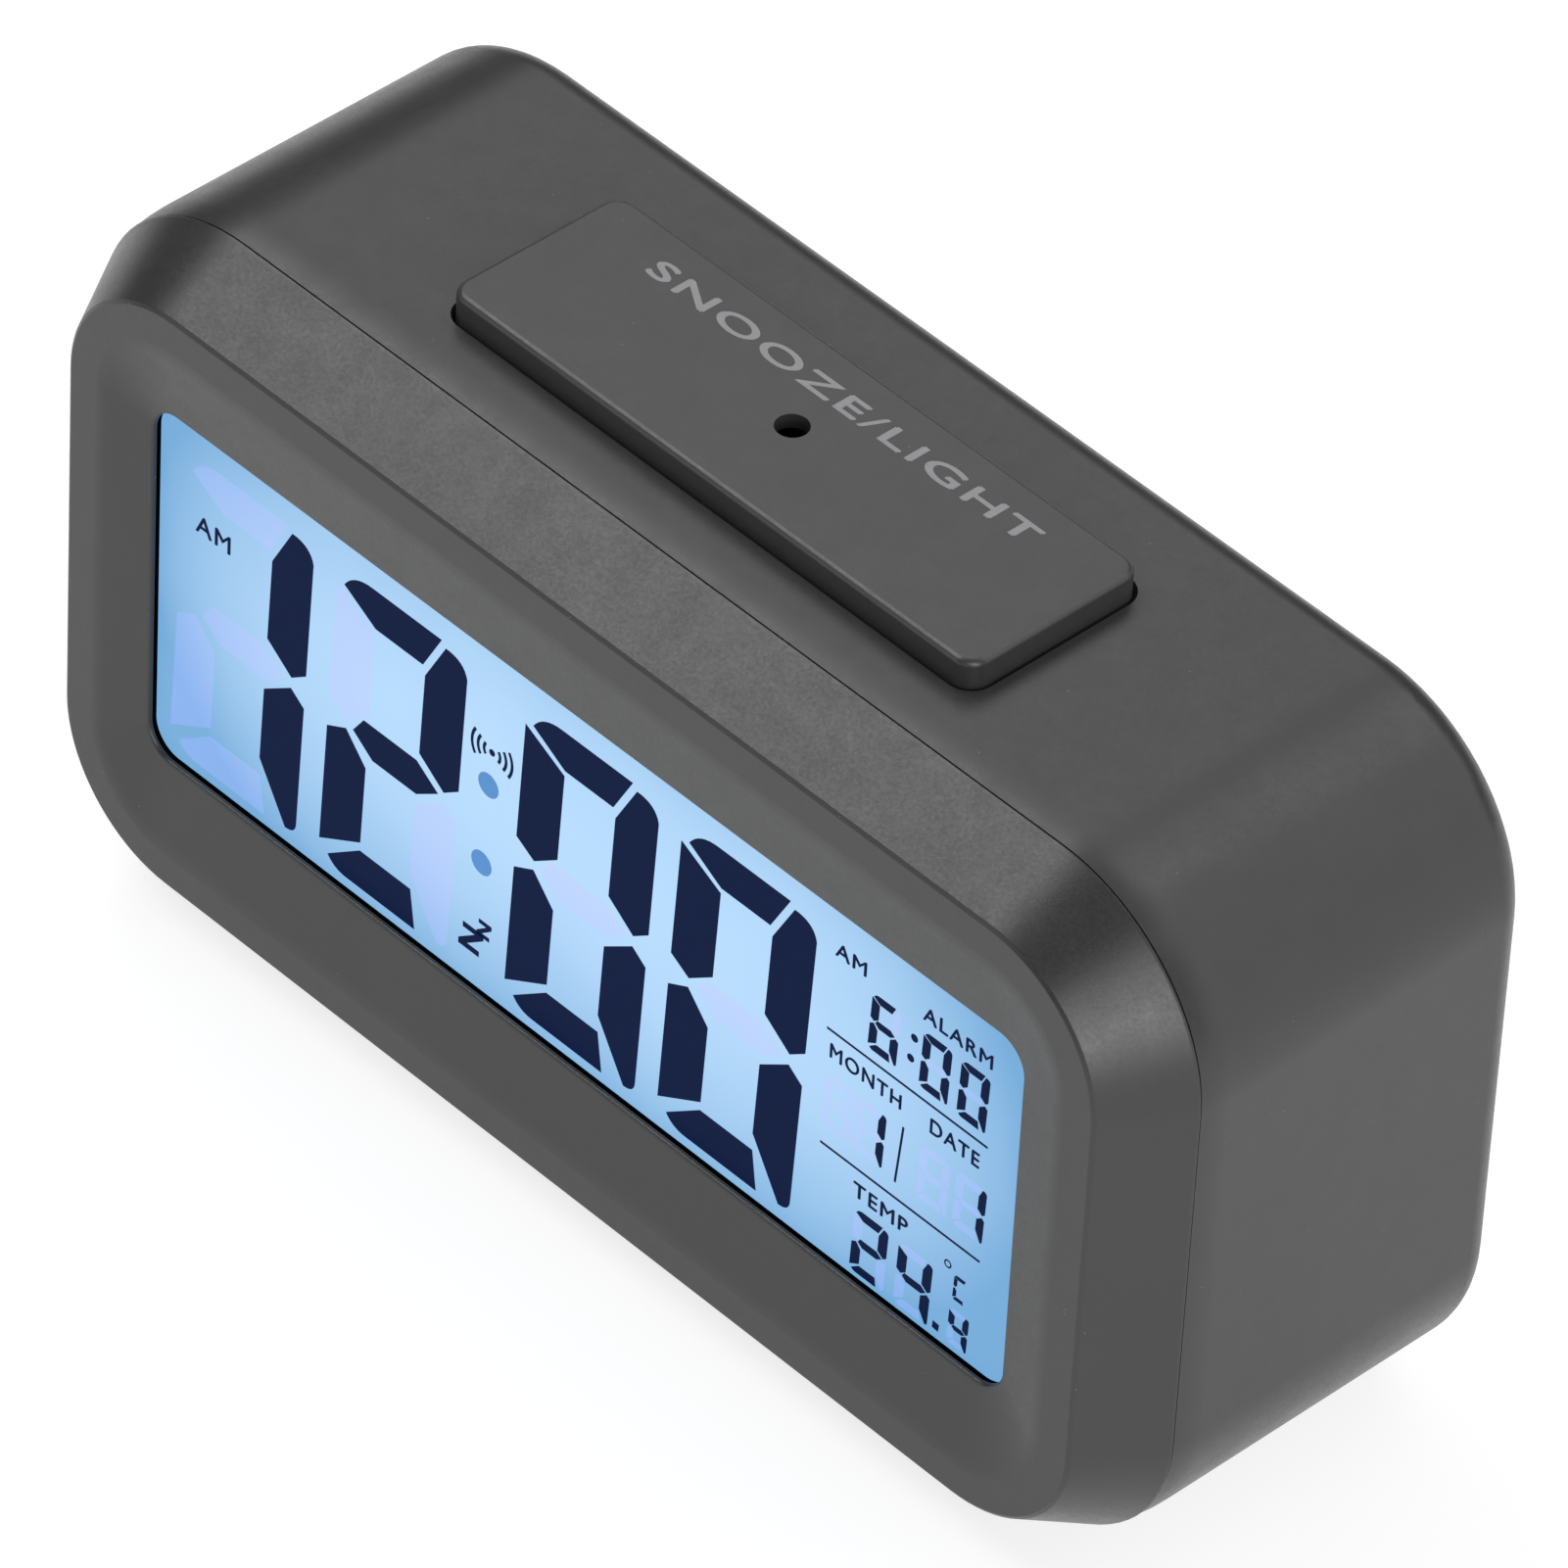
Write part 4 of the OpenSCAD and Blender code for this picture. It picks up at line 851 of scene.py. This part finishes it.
lit = bmesh.new()
unlit = bmesh.new()
for digit, left, absent in (("1", 2.55, "f"), ("2", 21.9, ""), ("0", 45.55, ""), ("0", 64.7, "")):
    write_digit(lit, unlit, digit, left, TIME_TOP, *TIME_SIZE, absent)
for digit, left in (("6", 88.4), ("0", 94.5), ("0", 99.0)):
    write_digit(lit, unlit, digit, left, ALARM_TOP, *ALARM_SIZE)
for digit, left in ((" ", 83.5), ("1", 87.3), (" ", 95.0), ("1", 99.3)):
    write_digit(lit, unlit, digit, left, DATE_TOP, *DATE_SIZE)
for digit, left in (("2", 87.87), ("4", 93.2)):
    write_digit(lit, unlit, digit, left, WARMTH_TOP, *WARMTH_SIZE)
write_digit(lit, unlit, "4", 99.55, TENTHS_TOP, *TENTHS_SIZE)
print("dark strokes:", len(lit.faces), "faces")

# %% [markdown]
# ## Rules, points and small signs
# Between the digits stand thin rules, the colon of the alarm time, the decimal point and the
# waves of the radio signal. Straight strokes and arcs of one width make them all, so two small
# functions give the outlines and the same plates carry them.


# %% Rules, points and small signs
RULE = 0.25
WAVE = 0.33
WAVES_X, WAVES_Y = 42.3, 11.7
ARC_STEPS = 10


def bar_outline(x0, y0, x1, y1, width):
    """A straight stroke between two points."""
    along = Vector((x1 - x0, y1 - y0)).normalized() * width / 2
    side = Vector((-along.y, along.x))
    ends = [Vector((x0, y0)), Vector((x1, y1))]
    return [tuple(ends[0] + side), tuple(ends[0] - side),
            tuple(ends[1] - side), tuple(ends[1] + side)]


def arc_outline(x, y, radius, width, start, stop):
    """A curved stroke of a given width, between two angles in degrees."""
    angles = [radians(start + (stop - start) * k / ARC_STEPS) for k in range(ARC_STEPS + 1)]
    outer = [(x + (radius + width / 2) * cos(a), y + (radius + width / 2) * sin(a)) for a in angles]
    inner = [(x + (radius - width / 2) * cos(a), y + (radius - width / 2) * sin(a)) for a in angles]
    return outer + inner[::-1]


for down in (14.1, 26.95):
    add_plate(lit, bar_outline(83.5, down, 102.7, down, RULE), on_display, FILM_SKIN)
add_plate(lit, bar_outline(93.0, 18.65, 92.4, 25.25, RULE), on_display, FILM_SKIN)
add_plate(lit, bar_outline(98.2, 37.15, 98.12, 37.95, 0.75), on_display, FILM_SKIN)
for x, y, radius in ((93.6, 8.27, 0.42), (93.3, 10.67, 0.42)):
    add_plate(lit, disc(x, y, radius, 16), on_display, FILM_SKIN)

add_plate(lit, disc(WAVES_X, WAVES_Y, 0.36, 20), on_display, FILM_SKIN)
for radius, spread in ((1.0, 38), (1.75, 36), (2.5, 34)):
    for side in (0, 180):
        arc = arc_outline(WAVES_X, WAVES_Y, radius, WAVE, side - spread, side + spread)
        add_plate(lit, arc, on_display, FILM_SKIN)
print("with rules and signs:", len(lit.faces), "faces")


# %% The sleep sign and the degree sign
def letter_z(x, y, w, h, width, shift):
    """A letter z, leaning by shift, whose slanted stroke joins its two level ones."""
    return [(x + shift, y), (x + w + shift, y), (x + w + shift, y + width),
            (x + 0.42 * w, y + h - width), (x + w, y + h - width), (x + w, y + h), (x, y + h),
            (x, y + h - width), (x + 0.58 * w + shift, y + width), (x + shift, y + width)]


add_plate(lit, letter_z(39.0, 32.6, 2.6, 2.8, 0.62, 0.5), on_display, FILM_SKIN)
add_plate(lit, letter_z(41.2, 31.0, 1.6, 1.9, 0.46, 0.25), on_display, FILM_SKIN)
for start, stop in ((0, 180), (180, 360)):
    add_plate(lit, arc_outline(99.1, 29.75, 0.36, 0.16, start, stop), on_display, FILM_SKIN)
C_LEFT, C_TOP, C_SIZE = 99.9, 30.3, (1.6, 2.8, 0.4, 0.4)
c_strokes = strokes(*C_SIZE)
for letter in "afed":
    outline = [(C_LEFT + x + LEAN * (C_SIZE[1] / 2 - y), C_TOP + y) for x, y in c_strokes[letter]]
    add_plate(lit, outline, on_display, FILM_SKIN)
print("with all signs:", len(lit.faces), "faces")

# %% [markdown]
# ## Painted shade in the gap at the window's edge
# The display lies a little behind the lip of the shell, and at the left and along the bottom the
# gap between them falls in shade. That shade is painted as a near-black flat frame on the film,
# between two rounded outlines, the outer one hidden behind the shell. A frame cut as one plate
# would need a hole in its face, so it is a chain of small plates whose shared points are then
# joined.

# %% Painted shade in the gap round the display
# How far the painted gap shade reaches into the window at the left and at the bottom, in mm.
GAP_SHADE_LEFT = 0.05
GAP_SHADE_BOTTOM = 0.05
HIDDEN = 0.6
OVERLAP = 0.3
JOIN_MM = 0.0001
outer_edge = rounded_outline(WINDOW_W + 2 * HIDDEN, WINDOW_H + 2 * HIDDEN, WINDOW_R)
outer_edge = [(p.x + WINDOW_W / 2, WINDOW_H / 2 - p.y) for p in outer_edge]
inner_edge = rounded_outline(WINDOW_W - GAP_SHADE_LEFT + OVERLAP, WINDOW_H - GAP_SHADE_BOTTOM + OVERLAP,
                             WINDOW_R)
inner_edge = [(p.x + (WINDOW_W + GAP_SHADE_LEFT + OVERLAP) / 2,
               (WINDOW_H - GAP_SHADE_BOTTOM - OVERLAP) / 2 - p.y) for p in inner_edge]
gap_shade_mesh = bmesh.new()
for i in range(len(outer_edge)):
    n = (i + 1) % len(outer_edge)
    quad = [outer_edge[i], outer_edge[n], inner_edge[n], inner_edge[i]]
    add_plate(gap_shade_mesh, quad, on_display, FILM_SKIN)
bmesh.ops.remove_doubles(gap_shade_mesh, verts=gap_shade_mesh.verts, dist=JOIN_MM * MM)
print("border:", len(gap_shade_mesh.faces), "faces")

# %% [markdown]
# ## The marks become pieces
# The painted gap shade, the dark strokes, the faint ones and the two dots of the colon each have
# their own finish, so each is a piece of its own. All of them ride with the case.

# %% Pieces on the display
COLON_R = 1.27
COLON_DOTS = ((42.0, 15.55), (41.5, 24.65))
MARK_ANGLE = radians(20)


def display_piece(name, bm, finish):
    return piece(name, smooth_mesh(name, bm, MARK_ANGLE), finish, "case")


# Painted shade: this near-black frame stands for the shade in the gap between the lip and the
# display.
display_piece("display_gap_shade", gap_shade_mesh, gap_shade_ink)
segments = display_piece("lit_segments", lit, dark_segment)
ghosts = display_piece("unlit_segments", unlit, unlit_glow)
colon = bmesh.new()
for x, down in COLON_DOTS:
    add_plate(colon, disc(x, down, COLON_R), on_display, FILM_SKIN)
display_piece("colon_dots", colon, colon_blue)
print("display marks:", len(segments.data.polygons), "dark,", len(ghosts.data.polygons), "faint")

# %% [markdown]
# ## Lettering
# The fixed words on the display and the words printed on the plastic are plain capitals.
# Blender's own font gives the letters as a curve; turning the curve into a mesh makes them solid
# plates. Each word is scaled to the width and capital height that it has on the clock.


# %% A word as a thin plate
STRIKE_STEP = 0.004
INK_GAP = 0.015
DISPLAY_WEIGHT, DISPLAY_SPACING = 0.1, 1.15


def word(name, text, width, height, to_space, finish, body, weight, spacing):
    """A word width by height millimetres, its lower left corner at to_space(0, 0, 0).

    The letters are struck twice, weight millimetres apart, which broadens their strokes."""
    curve = bpy.data.curves.new(name, "FONT")
    curve.body = text
    curve.space_character = spacing
    curve.extrude = 0.5
    curve.resolution_u = 6
    maker = bpy.data.objects.new(name + "_maker", curve)
    mesh = bpy.data.meshes.new_from_object(maker)
    bpy.data.objects.remove(maker)
    low = Vector([min(v.co[i] for v in mesh.vertices) for i in range(3)])
    high = Vector([max(v.co[i] for v in mesh.vertices) for i in range(3)])
    bm = bmesh.new()
    for strike in (0, 1):
        bm.from_mesh(mesh)
        bm.verts.ensure_lookup_table()
        for v in bm.verts[strike * len(mesh.vertices):]:
            share = [(v.co[i] - low[i]) / (high[i] - low[i]) for i in range(3)]
            v.co = to_space(share[0] * (width - weight) + strike * weight,
                            share[1] * (height - weight) + strike * weight,
                            (share[2] - 1) * PLATE + strike * STRIKE_STEP)
    bm.to_mesh(mesh)
    bm.free()
    mesh.materials.clear()
    return piece(name, mesh, finish, body)


def display_word(name, text, left, base, width, height):
    """A dark word on the display, its lower left corner left and base from the window's corner."""
    return word(name, text, width, height,
                lambda x, y, z: on_display(left + x, base - y, FILM_SKIN + z),
                dark_segment, "case", DISPLAY_WEIGHT, DISPLAY_SPACING)


display_word("word_am_time", "AM", 4.65, 11.7, 4.5, 2.0)
display_word("word_am_alarm", "AM", 83.95, 5.7, 3.75, 1.6)
display_word("word_alarm", "ALARM", 94.4, 5.55, 8.25, 1.6)
display_word("word_month", "MONTH", 84.0, 17.1, 8.6, 1.7)
display_word("word_date", "DATE", 96.0, 17.1, 5.9, 1.7)
display_word("word_temp", "TEMP", 87.65, 30.1, 6.6, 1.7)

# %% [markdown]
# ## Print on the snooze bar
# The bar tells what it does in pale grey pad print, behind the small hole for the light sensor.
# The print is a film of ink, so its plate is only a few hundredths of a millimetre thick.

# %% The bar's print
BAR_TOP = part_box("snooze_bar")[1].z / MM
PRINT_W = 46.3
PRINT_H = 2.45
PRINT_LEFT = -22.8
PRINT_FRONT = 5.85
PRINT_WEIGHT = 0.16
PRINT_SPACING = 1.12


def on_bar(x, y, z):
    return Vector((PRINT_LEFT + x, PRINT_FRONT + y, BAR_TOP + z + INK_GAP)) * MM


word("snooze_print", "SNOOZE/LIGHT", PRINT_W, PRINT_H, on_bar, grey_print, "snooze",
     PRINT_WEIGHT, PRINT_SPACING)
print("bar top at", round(BAR_TOP, 2), "mm")

# %% [markdown]
# ## Print on the back
# The five keys and the slide switch are told apart by small pale words, the same pad print as on
# the bar. They lie on the flat back just above each key, so they are placed from the keys' own
# boxes.

# %% Words on the back
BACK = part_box("rear_case")[1].y / MM
LABEL_H = 1.7
LABEL_GAP = 5.3
LABEL_WEIGHT = 0.1
SWITCH_ASIDE = 4.4
SWITCH_GAP = 4.2


def back_word(name, text, x, base, width):
    """A word on the back, read from behind, with its middle at x."""
    def on_back(along, up, lift):
        return Vector((x + width / 2 - along, BACK + lift + INK_GAP, base + up)) * MM

    return word(name, text, width, LABEL_H, on_back, grey_print, "case",
                LABEL_WEIGHT, PRINT_SPACING)


def middle(node):
    """The middle of a node's box, in millimetres."""
    low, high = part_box(node)
    return (low + high) / 2 / MM


for name, width in (("mode", 6.0), ("set", 4.3), ("up", 2.9), ("down", 6.6), ("alarm", 7.4)):
    key = middle(name + "_key")
    back_word("word_" + name + "_key", name.upper(), key.x, key.z + LABEL_GAP, width)
switch = middle("slide_lever")
back_word("word_switch_on", "ON", switch.x + SWITCH_ASIDE, switch.z + SWITCH_GAP, 3.4)
back_word("word_switch_off", "OFF", switch.x - SWITCH_ASIDE, switch.z + SWITCH_GAP, 4.2)

# %% [markdown]
# ## Floor and light
# The clock stands on a pale sheet that glows a little, like a light table, so its shadow stays
# faint. Smooth dark plastic shows little of its own colour: what reaches the eye is mostly the
# reflection of its surroundings. A row of soft lamps along the left gives the top and the tapered
# edge their sheen, one at the back lights the far corner, and four on the right shape the round
# corner and the end face. A low one at the front left opens the narrow rounded edges of the
# bezel. A weak even surround keeps the other sides from going black.


# %% Floor
FLOOR_SIZE = 6.0
FLOOR_DROP = 0.0001
FLOOR_GLOW = 0.75
PAPER_DARK = (0.34, 0.34, 0.34, 1)
PAPER_LIGHT = (0.36, 0.36, 0.36, 1)


def studio_floor():
    bm = bmesh.new()
    bmesh.ops.create_grid(bm, x_segments=8, y_segments=8, size=FLOOR_SIZE / 2)
    mesh = bpy.data.meshes.new("floor")
    bm.to_mesh(mesh)
    bm.free()
    paper = Finish("floor_paper", Specular_IOR_Level=0.1, Emission_Color=(1, 1, 1, 1),
                   Emission_Strength=FLOOR_GLOW)
    fibre = paper.noise(40.0, 3.0)
    paper.feed("Base Color", paper.mix(fibre, PAPER_DARK, PAPER_LIGHT))
    paper.feed("Roughness", 0.8 + fibre * 0.1)
    mesh.materials.append(paper.material)
    thing = bpy.data.objects.new("floor", mesh)
    bpy.context.scene.collection.objects.link(thing)
    return thing


floor = studio_floor()
floor.location.z = -FLOOR_DROP
print("floor of", FLOOR_SIZE, "m laid")


# %% World and lamps
def surround(strength):
    world = bpy.data.worlds.new("white_room")
    world.use_nodes = True
    sky = world.node_tree.nodes["Background"]
    sky.inputs["Color"].default_value = (1, 1, 1, 1)
    sky.inputs["Strength"].default_value = strength
    bpy.context.scene.world = world


def soft_lamp(name, place, size, power):
    """A square lamp that shines at the clock; size in metres, power in watts."""
    data = bpy.data.lights.new(name, "AREA")
    data.size = size
    data.energy = power
    lamp_object = bpy.data.objects.new(name, data)
    lamp_object.location = place
    lamp_object.rotation_euler = (AIM - Vector(place)).to_track_quat("-Z", "Y").to_euler()
    bpy.context.scene.collection.objects.link(lamp_object)


SURROUND = 0.1
lamps = [
    ("lamp_left_front", (-1.0, -0.6, 1.6), 0.8, 9.9),
    ("lamp_left_middle", (-1.05, 0.2, 1.6), 0.7, 8.3),
    ("lamp_left_back", (-1.0, 1.0, 1.4), 0.9, 4.2),
    ("lamp_back", (0.05, 1.0, 1.6), 0.9, 5.6),
    ("lamp_right", (1.4, -0.85, 0.95), 1.1, 14.0),
    ("lamp_right_low", (1.9, -0.8, 0.4), 1.0, 12.5),
    ("lamp_right_back", (0.7, 0.75, 0.9), 0.9, 4.0),
    ("lamp_right_back_low", (1.3, 0.85, 0.35), 0.7, 2.2),
    ("lamp_front_left_low", (-0.8, -1.3, 0.4), 0.8, 2.2),
]
surround(SURROUND)
for lamp_name, place, size, power in lamps:
    soft_lamp(lamp_name, place, size, power)
bpy.context.scene.view_settings.view_transform = "Standard"
print("lamps placed:", len(lamps))
